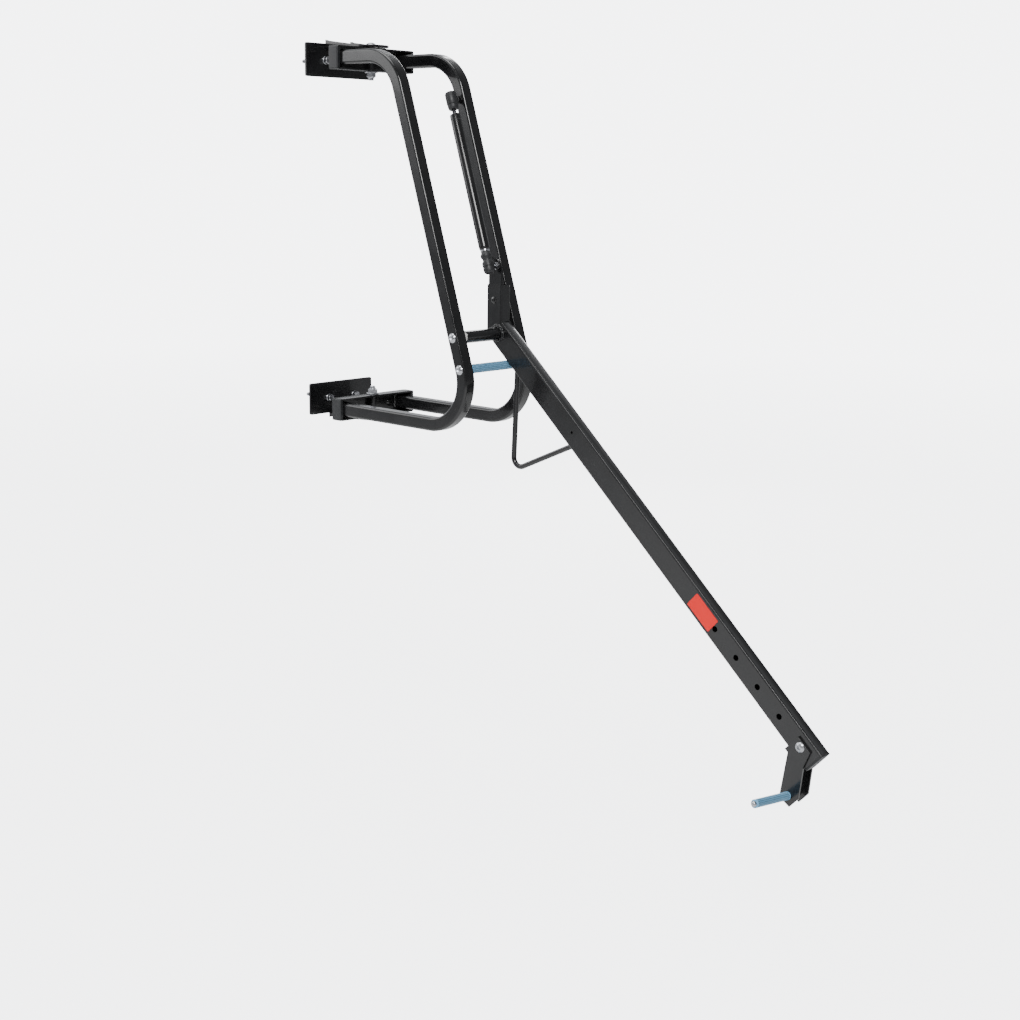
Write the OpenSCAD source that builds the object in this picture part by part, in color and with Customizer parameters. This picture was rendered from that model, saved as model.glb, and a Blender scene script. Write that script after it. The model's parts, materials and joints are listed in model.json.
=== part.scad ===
// Lift-assist wall rack that stores a bicycle upright, hung by its front wheel.
// Millimetres, +Z up. The wall is the plane Y = 0 and the rack stands out towards -Y.
// The origin is on the wall, in the middle of the four wall screws.

/* [Wall brackets] */
// Distance between the upper and the lower pair of wall screws
plate_spacing = 520; // [500:1:560]
// Width of a wall plate
plate_w = 130; // [110:1:180]
// Height of a wall plate
plate_h = 50; // [44:1:60]
// Thickness of a wall plate
plate_t = 4; // [3:0.5:6]
// Sideways distance between the two screws of a plate
screw_spacing = 54; // [46:1:76]
// Distance from the wall to the swivel axis
swivel_reach = 78; // [72:1:100]
// Half the width of a tongue, and the radius of its round end
tongue_r = 27; // [22:0.5:32]
// Thickness of the tongues and their side flanges
tongue_t = 3; // [2:0.5:4]
// Height of the upper side flanges over their tongue at the wall
flange_rise = 10; // [6:1:16]
// Height of the lower side flanges under their tongue at the wall
lower_flange_rise = 4; // [3:1:16]

/* [Wall screws] */
// Radius of a wall screw's shank
screw_r = 3; // [2.5:0.5:4]
// Length of the shank behind the wall plate
screw_len = 50; // [30:1:80]
// Width of a wall screw's hexagon head across its flats
screw_af = 10; // [8:1:13]
// Radius of the washer under a wall screw's head
screw_washer_r = 6; // [6:0.5:10]
// Width of the lock nuts across their flats
hex_af = 13; // [10:1:17]

/* [Swing frame] */
// Outside width of the square frame tube
tube_w = 20; // [18:0.5:25]
// Outside corner radius of the frame tube
tube_r = 3.5; // [2:0.5:4.5]
// Wall thickness of every tube
wall_t = 1.5; // [1.2:0.1:2]
// Distance between the middles of the two side tubes
frame_spacing = 125; // [115:1:160]
// How much taller the frame is, between its arms' middles, than the plates' spacing
frame_more = 6; // [0:1:12]
// How far the frame's middle lies below the origin
frame_drop = 3.5; // [0:0.5:10]
// Outward reach of the sloping leg at the height of the origin
leg_reach = 280.5; // [260:1:320]
// Slope of the leg from the vertical, in degrees
leg_angle = 18.2; // [15:0.1:20]
// Bend radius of the frame tubes at their middle line
bend_r = 65; // [55:1:75]

/* [Cross channels] */
// Height of a cross channel
channel_h = 34; // [32:1:44]
// Depth of a cross channel
channel_d = 20; // [16:1:26]
// Wall thickness of a cross channel
channel_t = 2.5; // [2:0.1:3]
// Length of a channel past the outer face of a side tube
channel_past = 2; // [1.5:0.5:6]
// Thickness of an end cap's flange
cap_t = 4; // [3:0.5:6]

/* [Lift arm] */
// Height of the lift arm tube
arm_h = 35; // [30:1:40]
// Width of the lift arm tube
arm_w = 20; // [18:0.5:24]
// Sideways place of the arm's middle
arm_x = 32; // [29:0.5:34]
// Length of the arm from the pivot to its end
arm_len = 768; // [700:1:850]
// Slope of the resting arm below the horizontal, in degrees
arm_angle = 42; // [38:0.5:46]
// Height of the arm's middle line over the pivot axis
arm_rise = 1.5; // [0:0.5:3]
// Distance between neighbouring adjustment holes
hole_pitch = 48.5; // [44:0.5:52]
// Distance from the last adjustment hole to the end of the arm
hole_end = 25.2; // [20:0.1:40]
// Radius of an adjustment hole
hole_r = 4.2; // [3:0.1:5]

/* [Pivot and stop] */
// Height of the pivot axis below the origin
pivot_drop = 136.6; // [120:0.1:150]
// Outside radius of the pivot tube
pivot_tube_r = 9; // [8:0.5:11]
// Radius of the pivot axle and of the stop bar's core
axle_r = 5; // [4:0.5:6]
// Outside radius of the stop bar's sleeve
stop_sleeve_r = 7; // [6:0.5:9]
// Radius of the round screw heads on the side tubes
dome_r = 7; // [5.5:0.5:8]

/* [Lever] */
// Depth of the lever tube along the swing plane
lever_d = 30; // [26:1:34]
// Height of the lever's open top over the pivot axis
lever_top = 71.5; // [60:0.5:80]
// Height of the lower ball stud over the pivot axis
stud_up = 99.2; // [90:0.1:105]
// Width of the lug plate that stands out of the lever
lug_w = 25; // [20:0.5:26]
// Thickness of the lug plate
lug_t = 4; // [3:0.5:5]

/* [Gas spring] */
// Distance from the pivot up the leg to the upper ball stud
upper_ball_up = 355; // [340:1:365]
// Outside radius of the spring cylinder
cylinder_r = 8; // [7:0.5:8.5]
// Radius of the spring rod
rod_r = 3; // [2.5:0.5:4]
// Radius of the ball on the upper stud
ball_r = 4.5; // [4:0.1:5]
// Sideways distance from the right tube to the upper ball
upper_ball_gap = 17; // [15:0.5:20]
// Distance from the lug to the spring's lower end
lower_ball_gap = 14.1; // [12:0.1:18]

/* [Loop rod] */
// Radius of the loop rod
loop_r = 4; // [3:0.5:5]
// Distance from the pivot to the loop's inner foot
loop_start = 58; // [54:1:70]
// Distance from the pivot to the loop's outer foot
loop_end = 206; // [190:1:230]
// Distance from the pivot to the loop's corner
loop_corner = 155; // [135:1:160]
// Depth of the loop's corner below the arm's middle line
loop_depth = 133.5; // [110:1:150]

/* [Wheel hook] */
// Radius of the hook rod
hook_rod_r = 4; // [3:0.5:5]
// Outside radius of the hook's sleeve
hook_sleeve_r = 6; // [5:0.5:7]
// Sideways place of the hook's free tip
hook_tip_x = -64; // [-72:1:-50]
// Depth of the hook below the arm's middle line
hook_depth = 64; // [50:1:70]
// How far the hook lies past the end of the arm
hook_past = 13; // [8:1:20]
// Upward tilt of the hook towards its tip, in degrees
hook_tilt = 8.5; // [0:0.1:10]

/* [Hidden] */
$fn = 64;

// Clearances
run_gap = 0.05;                 // running fit on a radius
free_gap = 0.3;                 // between parts that move past each other
slip_t = 1;                     // slip washer between tongue and channel
hole_gap = 0.3;                 // bolt hole over its bolt
washer_t = 2;
screw_neck = 0.2;               // plain neck over the thread
eps = 0.01;

// Finishes
black_coat = [0.06, 0.06, 0.065];
dark_plastic = [0.14, 0.14, 0.15];
zinc = [0.82, 0.83, 0.84];
dark_rod = [0.16, 0.16, 0.17];
sky_sleeve = [0.35, 0.62, 0.82];
white_nylon = [0.92, 0.92, 0.9];
signal_red = [0.93, 0.16, 0.1];

// Frame heights
frame_h = plate_spacing + frame_more;
arm_top_z = frame_h / 2 - frame_drop;
arm_low_z = -frame_h / 2 - frame_drop;
tube_x = frame_spacing / 2;
inner_face_x = tube_x - tube_w / 2;
outer_face_x = tube_x + tube_w / 2;
bore_w = tube_w - 2 * wall_t;
bore_r = tube_r - wall_t;

// Channels: web towards the wall, open side outwards, swivel axis at mid depth
channel_back = swivel_reach + 2 - channel_d / 2;
channel_front = channel_back + channel_d;
web_face = channel_back + channel_t;
channel_half = outer_face_x + channel_past;
bolt_r = 4;
bolt_head_r = 9;
bolt_head_h = 4.5;
nut_h = 8;
lower_nut_h = 6;
spacer_r = swivel_reach - web_face - free_gap;

// Swing plane: u runs outwards from the wall, so y = -u
function leg_u(z) = leg_reach - tan(leg_angle) * z;
top_turn = 90 - leg_angle;
low_turn = 90 + leg_angle;
top_tangent = bend_r * tan(top_turn / 2);
low_tangent = bend_r * tan(low_turn / 2);
top_u = leg_u(arm_top_z);
low_u = leg_u(arm_low_z);
leg_len = frame_h / cos(leg_angle) - top_tangent - low_tangent;
bend_thin = 0.2;
bend_lap = 0.3;

// Pivot, on the middle line of the leg
pivot_z = -pivot_drop;
pivot_u = leg_u(pivot_z);
// Stop bar, where its sleeve meets the underside of the resting arm
stop_under = arm_h / 2 - arm_rise + stop_sleeve_r + free_gap;
stop_down = stop_under / cos(arm_angle + leg_angle);
stop_u = pivot_u + stop_down * sin(leg_angle);
stop_z = pivot_z - stop_down * cos(leg_angle);
dome_h = 3.6;
screw_thread = 18;

// Arm
arm_bore_r = 3;
arm_near_x = arm_x - arm_w / 2;
arm_far_x = arm_x + arm_w / 2;
lever_front_u = pivot_u + 7.5;
lever_back_u = lever_front_u - lever_d;
lever_mid_u = (lever_front_u + lever_back_u) / 2;
lever_foot_z = pivot_z + 5;
hole_count = 5;
hole_first = arm_len - hole_end - (hole_count - 1) * hole_pitch;
plug_t = 3;
plug_in = 18;
plug_gap = 0.2;
label_from = hole_first - 52.8;
label_len = 48.5;
label_w = 24;
label_t = 0.4;
small_hole_at = 196;
small_hole_r = 2;

// Lug and its screws
lug_x = arm_near_x + wall_t + lug_t / 2 + 0.1;
lug_foot = 26;
lug_top = stud_up + 13;
lug_bolt_up = 49;
lug_bolt_r = 4;

// Bushes
bush_flange_t = 3;
bush_len = 15;
bush_r = pivot_tube_r - 2;
bush_flange_r = pivot_tube_r - 0.5;
pivot_half = inner_face_x - free_gap - bush_flange_t;

// Gas spring: from the upper ball on the frame to the lower stud on the lever
upper_ball = [inner_face_x - upper_ball_gap, -leg_u(pivot_z + upper_ball_up * cos(leg_angle)),
              pivot_z + upper_ball_up * cos(leg_angle)];
lug_near = lug_x - lug_t / 2;
lower_ball_x = lug_near - lower_ball_gap;
lower_ball = [lower_ball_x, -lever_mid_u, pivot_z + stud_up];
spring_v = lower_ball - upper_ball;
spring_len = norm(spring_v);
spring_tilt = acos(-spring_v[2] / spring_len);
spring_turn = atan2(spring_v[1], spring_v[0]);
socket_r = 8.5;
socket_len = 27;
socket_nose = 11;
rod_bare = 8;
cylinder_from = socket_len - socket_nose + rod_bare;
lower_socket_len = 33;
collar_len = 3;
cylinder_to = spring_len - lower_socket_len + socket_nose - collar_len;
cylinder_bore = cylinder_r - 1.5;
guide_len = 14;
rod_stroke = 142;
rod_end = cylinder_from + rod_stroke + guide_len + 6;
piston_len = 10;
stud_neck_r = 2.6;
stud_flange_r = 6.2;
stud_flange_t = 3;
thread_r = 3;

// Loop
loop_bend = 13;

// Hook
hook_side_t = 3;
hook_wrap = hook_side_t + 0.2;
hook_from = hole_first + 4 * hole_pitch - 12;
hook_at = arm_len + hook_past;
hook_sleeve_from = 6;
hook_tip_len = 5;

// ---- helpers ----

// Rounded rectangle, w along x and h along y
module round_rect(w, h, r) {
  square([w - 2 * r, h], center = true);
  square([w, h - 2 * r], center = true);
  for (sx = [-1, 1], sy = [-1, 1])
    translate([sx * (w / 2 - r), sy * (h / 2 - r)]) circle(r);
}

// Places children in the swing plane: local x outwards, local y to the right, z up
module swing_plane() { rotate([0, 0, -90]) children(); }

// Bar of the child outline from (u, z), running at an elevation, in the swing plane
module bar(u, z, elevation, length) {
  translate([u, 0, z]) rotate([0, 90 - elevation, 0])
    linear_extrude(length) children();
}

// Round bar along X between two places
module cross_pin(u, z, r, x0, x1) {
  translate([x0, -u, z]) rotate([0, 90, 0]) cylinder(r = r, h = x1 - x0);
}

// Children in the arm's frame: x along the arm from the pivot, y to the right, z over it
module arm_frame() {
  swing_plane() translate([pivot_u, arm_x, pivot_z]) rotate([0, arm_angle, 0])
    translate([0, 0, arm_rise]) children();
}

// Children in the spring's frame: z runs from the upper ball to the lower one
module spring_frame() {
  translate(upper_ball) rotate([0, 180 - spring_tilt, spring_turn]) children();
}

// Hexagon nut or head along z
module hex_prism(af, h) { cylinder(r = af / 2 / cos(30), h = h, $fn = 6); }

// Low domed screw head along z, flat at z = 0, with a hexagon socket
module dome_head(r, h, socket_af) {
  difference() {
    intersection() {
      cylinder(r = r, h = h);
      translate([0, 0, h - (r * r + h * h) / (2 * h)])
        sphere(r = (r * r + h * h) / (2 * h));
    }
    translate([0, 0, h * 0.4]) hex_prism(socket_af, h);
  }
}

// ---- wall brackets ----

// One bracket: plate, tongue and side flanges. side is 1 for the upper one.
// tongue_at is the height of the tongue's face towards the channel.
module bracket(side, plate_z, tongue_at, rise) {
  difference() {
    union() {
      translate([0, 0, plate_z]) rotate([90, 0, 0])
        linear_extrude(plate_t) round_rect(plate_w, plate_h, 3);
      translate([0, 0, tongue_at]) mirror([0, 0, side < 0 ? 1 : 0]) {
        linear_extrude(tongue_t) {
          translate([-tongue_r, -swivel_reach])
            square([2 * tongue_r, swivel_reach - plate_t + eps]);
          translate([0, -swivel_reach]) circle(tongue_r);
        }
        for (sx = [-1, 1])
          translate([sx * (tongue_r - tongue_t / 2), 0, 0]) rotate([90, 0, 90])
            linear_extrude(tongue_t, center = true)
              polygon([[-plate_t + eps, 0.5], [-swivel_reach + 4, 0.5],
                       [-swivel_reach + 4, tongue_t + 0.6],
                       [-plate_t - 5, tongue_t + rise - 1],
                       [-plate_t + eps, tongue_t + rise]]);
      }
    }
    for (sx = [-1, 1])
      translate([sx * screw_spacing / 2, eps, plate_z]) rotate([90, 0, 0])
        cylinder(r = screw_r + hole_gap, h = plate_t + 2 * eps);
    translate([0, -swivel_reach, tongue_at - 20])
      cylinder(r = bolt_r + run_gap, h = 40);
  }
}

upper_tongue_z = arm_top_z + channel_h / 2 + slip_t;
lower_tongue_z = arm_low_z - channel_h / 2 - slip_t;

module upper_wall_bracket() {
  color(black_coat) bracket(1, plate_spacing / 2, upper_tongue_z, flange_rise);
}

module lower_wall_bracket() {
  color(black_coat) bracket(-1, -plate_spacing / 2, lower_tongue_z, lower_flange_rise);
}

module at_wall_screws() {
  for (sx = [-1, 1], sz = [-1, 1])
    translate([sx * screw_spacing / 2, 0, sz * plate_spacing / 2]) children();
}

module wall_screws() {
  color(zinc) at_wall_screws() {
    translate([0, screw_len, 0]) rotate([90, 0, 0])
      cylinder(r = screw_r, h = screw_len + eps);
    rotate([90, 0, 0]) cylinder(r = screw_r + screw_neck, h = plate_t + washer_t + eps);
    translate([0, -plate_t - washer_t, 0]) rotate([90, 0, 0]) hex_prism(screw_af, 5.5);
  }
}

module wall_washers() {
  color(zinc) at_wall_screws()
    translate([0, -plate_t, 0]) rotate([90, 0, 0]) difference() {
      cylinder(r = screw_washer_r, h = washer_t);
      translate([0, 0, -eps]) cylinder(r = screw_r + hole_gap, h = washer_t + 2 * eps);
    }
}

// ---- swivel ----

// The swivel stack, drawn for the upper bracket and mirrored for the lower one
module both_swivels() {
  translate([0, -swivel_reach, arm_top_z]) children();
  translate([0, -swivel_reach, arm_low_z]) mirror([0, 0, 1]) children();
}

stack_out = channel_h / 2 + slip_t + tongue_t;

module swivel_bolts() {
  color(zinc) both_swivels() {
    translate([0, 0, -channel_h / 2 - washer_t - nut_h - 3])
      cylinder(r = bolt_r, h = channel_h / 2 + washer_t + nut_h + 3 + stack_out + eps);
    translate([0, 0, stack_out]) dome_head(bolt_head_r, bolt_head_h, 5);
  }
}

module swivel_nuts() {
  color(zinc) both_swivels()
    translate([0, 0, -channel_h / 2 - washer_t - nut_h]) difference() {
      hex_prism(hex_af, nut_h);
      translate([0, 0, -eps]) cylinder(r = bolt_r, h = nut_h + 2 * eps);
    }
}

module swivel_washers() {
  color(zinc) both_swivels()
    translate([0, 0, -channel_h / 2 - washer_t]) difference() {
      cylinder(r = 10, h = washer_t - 0.1);
      translate([0, 0, -eps]) cylinder(r = bolt_r, h = washer_t + 2 * eps);
    }
}

module slip_washers() {
  color(white_nylon) both_swivels()
    translate([0, 0, channel_h / 2 + 0.1]) difference() {
      cylinder(r = 12, h = slip_t - 0.1);
      translate([0, 0, -eps]) cylinder(r = bolt_r, h = slip_t + 2 * eps);
    }
}

module swivel_spacers() {
  color(black_coat) both_swivels()
    translate([0, 0, -channel_h / 2 + channel_t]) difference() {
      cylinder(r = spacer_r, h = channel_h - 2 * channel_t);
      translate([0, 0, -eps]) cylinder(r = bolt_r + run_gap, h = channel_h);
    }
}

// ---- cross channels ----

module channel(z) {
  difference() {
    translate([-channel_half, -channel_front, z - channel_h / 2])
      cube([2 * channel_half, channel_d, channel_h]);
    translate([-channel_half - 1, -channel_front - 1, z - channel_h / 2 + channel_t])
      cube([2 * channel_half + 2, channel_d - channel_t + 1, channel_h - 2 * channel_t]);
    translate([0, -swivel_reach, z - channel_h]) cylinder(r = bolt_r + run_gap, h = 2 * channel_h);
    children();
  }
}

module upper_cross_channel() { color(black_coat) channel(arm_top_z); }

channel_screw_x = 40;
channel_screw_r = 3;

module lower_cross_channel() {
  color(black_coat) channel(arm_low_z)
    for (sx = [-1, 1])
      translate([sx * channel_screw_x, -web_face - 1, arm_low_z]) rotate([-90, 0, 0])
        cylinder(r = channel_screw_r, h = channel_t + 2);
}

module channel_end_caps() {
  color(dark_plastic)
    for (sx = [-1, 1], z = [arm_top_z, arm_low_z])
      translate([sx * channel_half, -(channel_back + channel_front) / 2, z])
        rotate([0, sx * 90, 0]) {
          linear_extrude(cap_t) round_rect(channel_h, channel_d, 2.5);
          translate([0, -channel_t / 2, -channel_past + 0.3])
            linear_extrude(channel_past - 0.3 + eps)
              square([channel_h - 2 * channel_t, channel_d - channel_t], center = true);
        }
}

module at_channel_screws() {
  for (sx = [-1, 1]) translate([sx * channel_screw_x, 0, arm_low_z]) children();
}

module channel_screws() {
  color(black_coat) at_channel_screws() {
    translate([0, -web_face, 0]) rotate([90, 0, 0]) dome_head(6, 3.2, 4);
    translate([0, -web_face - eps, 0]) rotate([-90, 0, 0])
      cylinder(r = channel_screw_r, h = channel_t + 7);
  }
}

module channel_screw_nuts() {
  color(zinc) at_channel_screws() translate([0, -channel_back, 0]) rotate([-90, 0, 0])
    difference() {
      hex_prism(10, 5);
      translate([0, 0, -1]) cylinder(r = channel_screw_r, h = 7);
    }
}

// ---- side tubes ----

// The tube's whole path with a square outline of width w and corner radius r.
// A bend comes out slightly slimmer than the straight tube beside it.
module side_path(w, r, from) {
  swing_plane() {
    bar(from, arm_top_z, 0, top_u - top_tangent - from + bend_lap) round_rect(w, w, r);
    translate([top_u - top_tangent, 0, arm_top_z - bend_r]) rotate([90, 0, 0])
      rotate([0, 0, leg_angle]) rotate_extrude(angle = top_turn, $fn = 96)
        translate([bend_r, 0]) round_rect(w - bend_thin, w - bend_thin, r);
    bar(leg_u(arm_top_z) + (top_tangent - bend_lap) * sin(leg_angle),
        arm_top_z - (top_tangent - bend_lap) * cos(leg_angle),
        leg_angle - 90, leg_len + 2 * bend_lap)
      round_rect(w, w, r);
    translate([low_u - low_tangent, 0, arm_low_z + bend_r]) rotate([90, 0, 0])
      rotate([0, 0, -90]) rotate_extrude(angle = low_turn, $fn = 96)
        translate([bend_r, 0]) round_rect(w - bend_thin, w - bend_thin, r);
    bar(from, arm_low_z, 0, low_u - low_tangent - from + bend_lap) round_rect(w, w, r);
  }
}

// side is -1 for the left tube. Its bolts pass through it at the pivot and the stop.
module side_tube(side) {
  difference() {
    translate([side * tube_x, 0, 0]) difference() {
      side_path(tube_w, tube_r, web_face);
      side_path(bore_w, bore_r, web_face - 1);
    }
    cross_pin(pivot_u, pivot_z, thread_r + hole_gap, side * tube_x - tube_w, side * tube_x + tube_w);
    cross_pin(stop_u, stop_z, thread_r + hole_gap, side * tube_x - tube_w, side * tube_x + tube_w);
    if (side > 0)
      translate(upper_ball) rotate([0, 90, 0]) cylinder(r = thread_r, h = upper_ball_gap + tube_w / 2);
  }
}

module left_side_tube() { color(black_coat) side_tube(-1); }

module right_side_tube() { color(black_coat) side_tube(1); }

// ---- pivot and stop ----

module pivot_axle() {
  color(zinc) difference() {
    cross_pin(pivot_u, pivot_z, axle_r, -inner_face_x, inner_face_x);
    for (sx = [-1, 1]) cross_pin(pivot_u, pivot_z, thread_r,
      sx > 0 ? inner_face_x - screw_thread : -inner_face_x - 1,
      sx > 0 ? inner_face_x + 1 : -inner_face_x + screw_thread);
  }
}

// Domed screws through both side tubes into the ends of a cross bar
module frame_screws(u, z) {
  for (sx = [-1, 1]) translate([sx * outer_face_x, -u, z]) rotate([0, sx * 90, 0]) {
    dome_head(dome_r, dome_h, 5);
    translate([0, 0, -tube_w - screw_thread + 2])
      cylinder(r = thread_r, h = tube_w + screw_thread - 2 + eps);
  }
}

module pivot_screws() { color(zinc) frame_screws(pivot_u, pivot_z); }

module stop_bar_screws() { color(zinc) frame_screws(stop_u, stop_z); }

module stop_bar() {
  color(zinc) difference() {
    cross_pin(stop_u, stop_z, axle_r, -inner_face_x, inner_face_x);
    for (sx = [-1, 1]) cross_pin(stop_u, stop_z, thread_r,
      sx > 0 ? inner_face_x - screw_thread : -inner_face_x - 1,
      sx > 0 ? inner_face_x + 1 : -inner_face_x + screw_thread);
  }
}

module stop_bar_sleeve() {
  color(sky_sleeve) difference() {
    cross_pin(stop_u, stop_z, stop_sleeve_r, -inner_face_x + 0.5, inner_face_x - 0.5);
    cross_pin(stop_u, stop_z, axle_r, -inner_face_x, inner_face_x);
  }
}

module pivot_tube() {
  color(black_coat) difference() {
    cross_pin(pivot_u, pivot_z, pivot_tube_r, -pivot_half, pivot_half);
    cross_pin(pivot_u, pivot_z, bush_r, -pivot_half - 1, pivot_half + 1);
  }
}

module pivot_bushes() {
  color(white_nylon)
    for (sx = [-1, 1]) translate([sx * pivot_half, -pivot_u, pivot_z]) rotate([0, sx * 90, 0])
      difference() {
        union() {
          cylinder(r = bush_flange_r, h = bush_flange_t);
          translate([0, 0, -bush_len]) cylinder(r = bush_r, h = bush_len + eps);
        }
        translate([0, 0, -bush_len - 1])
          cylinder(r = axle_r + run_gap, h = bush_len + bush_flange_t + 2);
      }
}

// ---- lift arm ----

// The lever's outside block, from its foot up
module lever_block() {
  translate([arm_near_x, -lever_front_u, lever_foot_z])
    cube([arm_w, lever_d, lever_top - (lever_foot_z - pivot_z)]);
}

module arm_tube() {
  color(black_coat) difference() {
    arm_frame() translate([-lever_d, 0, 0]) rotate([0, 90, 0])
      linear_extrude(arm_len + lever_d) difference() {
        round_rect(arm_h, arm_w, arm_bore_r);
        round_rect(arm_h - 2 * wall_t, arm_w - 2 * wall_t, arm_bore_r - wall_t);
      }
    // cut off square with the lever's back, and cleared for the lever and the pivot tube
    translate([arm_near_x - 1, -lever_back_u, pivot_z - 2 * arm_h])
      cube([arm_w + 2, lever_d * 2, 4 * arm_h]);
    lever_block();
    translate([arm_near_x - 1, -lever_front_u, lever_foot_z + 1])
      cube([arm_w + 2, lever_d * 2, arm_h]);
    cross_pin(pivot_u, pivot_z, pivot_tube_r, arm_near_x - 1, arm_far_x + 1);
    // adjustment holes through both sides
    arm_frame() {
      for (i = [0:hole_count - 1])
        translate([hole_first + i * hole_pitch, arm_w, 0]) rotate([90, 0, 0])
          cylinder(r = hole_r, h = 2 * arm_w);
      translate([small_hole_at, 0, 1.5]) rotate([90, 0, 0])
        cylinder(r = small_hole_r, h = arm_w);
    }
  }
}

module arm_end_plug() {
  color(dark_plastic) arm_frame() translate([arm_len, 0, 0]) rotate([0, 90, 0]) {
    linear_extrude(plug_t) round_rect(arm_h, arm_w, arm_bore_r);
    translate([0, 0, -plug_in]) linear_extrude(plug_in + eps)
      round_rect(arm_h - 2 * wall_t - 2 * plug_gap, arm_w - 2 * wall_t - 2 * plug_gap, 1);
  }
}

module arm_label() {
  color(signal_red) arm_frame()
    translate([label_from, -arm_w / 2 - label_t, -label_w / 2])
      cube([label_len, label_t, label_w]);
}

module lever_tube() {
  color(black_coat) difference() {
    translate([arm_x, -lever_mid_u, lever_foot_z])
      linear_extrude(lever_top - (lever_foot_z - pivot_z)) difference() {
        round_rect(arm_w, lever_d, arm_bore_r);
        round_rect(arm_w - 2 * wall_t, lever_d - 2 * wall_t, arm_bore_r - wall_t);
      }
    cross_pin(pivot_u, pivot_z, pivot_tube_r, arm_near_x - 1, arm_far_x + 1);
    translate([arm_near_x - 1, -lever_mid_u, pivot_z + lug_bolt_up]) rotate([0, 90, 0])
      cylinder(r = lug_bolt_r, h = arm_w + 2);
  }
}

module lever_lug() {
  color(black_coat) difference() {
    translate([lug_x, -lever_mid_u, pivot_z]) rotate([90, 0, 90])
      linear_extrude(lug_t, center = true)
        polygon([[-lug_w / 2, lug_foot], [lug_w / 2, lug_foot],
                 [lug_w / 2, lug_top - 1], [lug_w / 2 - 2, lug_top],
                 [-lug_w / 2 + 6, lug_top - 5], [-lug_w / 2, lug_top - 18]]);
    translate([lug_x - lug_t, -lever_mid_u, pivot_z + lug_bolt_up]) rotate([0, 90, 0])
      cylinder(r = lug_bolt_r, h = 2 * lug_t);
    translate([lug_x - lug_t, -lever_mid_u, pivot_z + stud_up]) rotate([0, 90, 0])
      cylinder(r = thread_r, h = 2 * lug_t);
  }
}

module lug_bolt() {
  color(black_coat) translate([0, -lever_mid_u, pivot_z + lug_bolt_up]) {
    translate([arm_near_x, 0, 0]) rotate([0, -90, 0]) dome_head(5.5, 2.2, 3);
    translate([arm_near_x - eps, 0, 0]) rotate([0, 90, 0])
      cylinder(r = lug_bolt_r, h = arm_w + 8);
  }
}

module lug_nut() {
  color(zinc) translate([arm_far_x, -lever_mid_u, pivot_z + lug_bolt_up]) rotate([0, 90, 0])
    difference() {
      hex_prism(hex_af, 6.5);
      translate([0, 0, -1]) cylinder(r = lug_bolt_r, h = 9);
    }
}

// Loop rod: two straight legs and one round bend, in the arm's own plane.
// The bend is slightly slimmer, as in the side tubes.
loop_thin = 0.1;
loop_lap = 0.3;
arm_under = -arm_h / 2;
leg_a = [loop_corner - loop_start, -loop_depth - arm_under];
leg_b = [loop_end - loop_corner, arm_under + loop_depth];
ang_a = atan2(leg_a[1], leg_a[0]);
ang_b = atan2(leg_b[1], leg_b[0]);
loop_turn = ang_b - ang_a;
loop_tangent = loop_bend * tan(loop_turn / 2);
loop_centre = [loop_corner - loop_tangent * cos(ang_a) - loop_bend * sin(ang_a),
               -loop_depth - loop_tangent * sin(ang_a) + loop_bend * cos(ang_a)];

module loop_rod() {
  color(black_coat) arm_frame() difference() {
    union() {
      translate([loop_start - 8 * cos(ang_a), 0, arm_under - 8 * sin(ang_a)])
        rotate([0, 90 - ang_a, 0])
          cylinder(r = loop_r, h = norm(leg_a) - loop_tangent + 8 + loop_lap);
      translate([loop_centre[0], 0, loop_centre[1]]) rotate([90, 0, 0])
        rotate([0, 0, ang_a - 90]) rotate_extrude(angle = loop_turn)
          translate([loop_bend, 0]) circle(loop_r - loop_thin);
      translate([loop_corner + (loop_tangent - loop_lap) * cos(ang_b), 0,
                 -loop_depth + (loop_tangent - loop_lap) * sin(ang_b)])
        rotate([0, 90 - ang_b, 0])
          cylinder(r = loop_r, h = norm(leg_b) - loop_tangent + 8 + loop_lap);
    }
    translate([0, -arm_w / 2, arm_under]) cube([arm_len, arm_w, arm_h]);
  }
}

// ---- wheel hook ----

// Children in the hook's frame: z runs from the arm's middle plane to the free tip
module hook_frame() {
  arm_frame() translate([hook_at, 0, -hook_depth]) rotate([0, -arm_angle, 0])
    rotate([90 - hook_tilt, 0, 0]) children();
}

hook_len = (arm_x - hook_tip_x) / cos(hook_tilt);
hook_root = arm_w / 2 + hook_side_t + 2;
bracket_outline = [[hook_from, arm_under - hook_side_t], [hook_from, 8], [hook_from + 26, 8],
                   [hook_from + 34, arm_under - hook_side_t + 6],
                   [hook_at + 11, -hook_depth + 12], [hook_at + 11, -hook_depth - 8],
                   [hook_at - 8, -hook_depth - 11], [hook_from + 6, arm_under - hook_side_t]];

module hook_bracket() {
  color(black_coat) difference() {
    arm_frame() {
      for (sy = [-1, 1]) translate([0, sy * (arm_w / 2 + hook_wrap - hook_side_t / 2), 0])
        rotate([90, 0, 0]) linear_extrude(hook_side_t, center = true) polygon(bracket_outline);
      translate([hook_from, -arm_w / 2 - hook_wrap, arm_under - hook_side_t - 0.2])
        cube([34, arm_w + 2 * hook_wrap, hook_side_t]);
    }
    hook_frame() translate([0, 0, -hook_root - 20]) cylinder(r = hook_rod_r, h = 3 * hook_root + 20);
    arm_frame() translate([hole_first + (hole_count - 1) * hole_pitch, 2 * arm_w, 0])
      rotate([90, 0, 0]) cylinder(r = bolt_r, h = 4 * arm_w);
  }
}

module hook_rod() {
  color(black_coat) hook_frame() translate([0, 0, -hook_root])
    cylinder(r = hook_rod_r, h = hook_root + hook_len - hook_tip_len);
}

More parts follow.
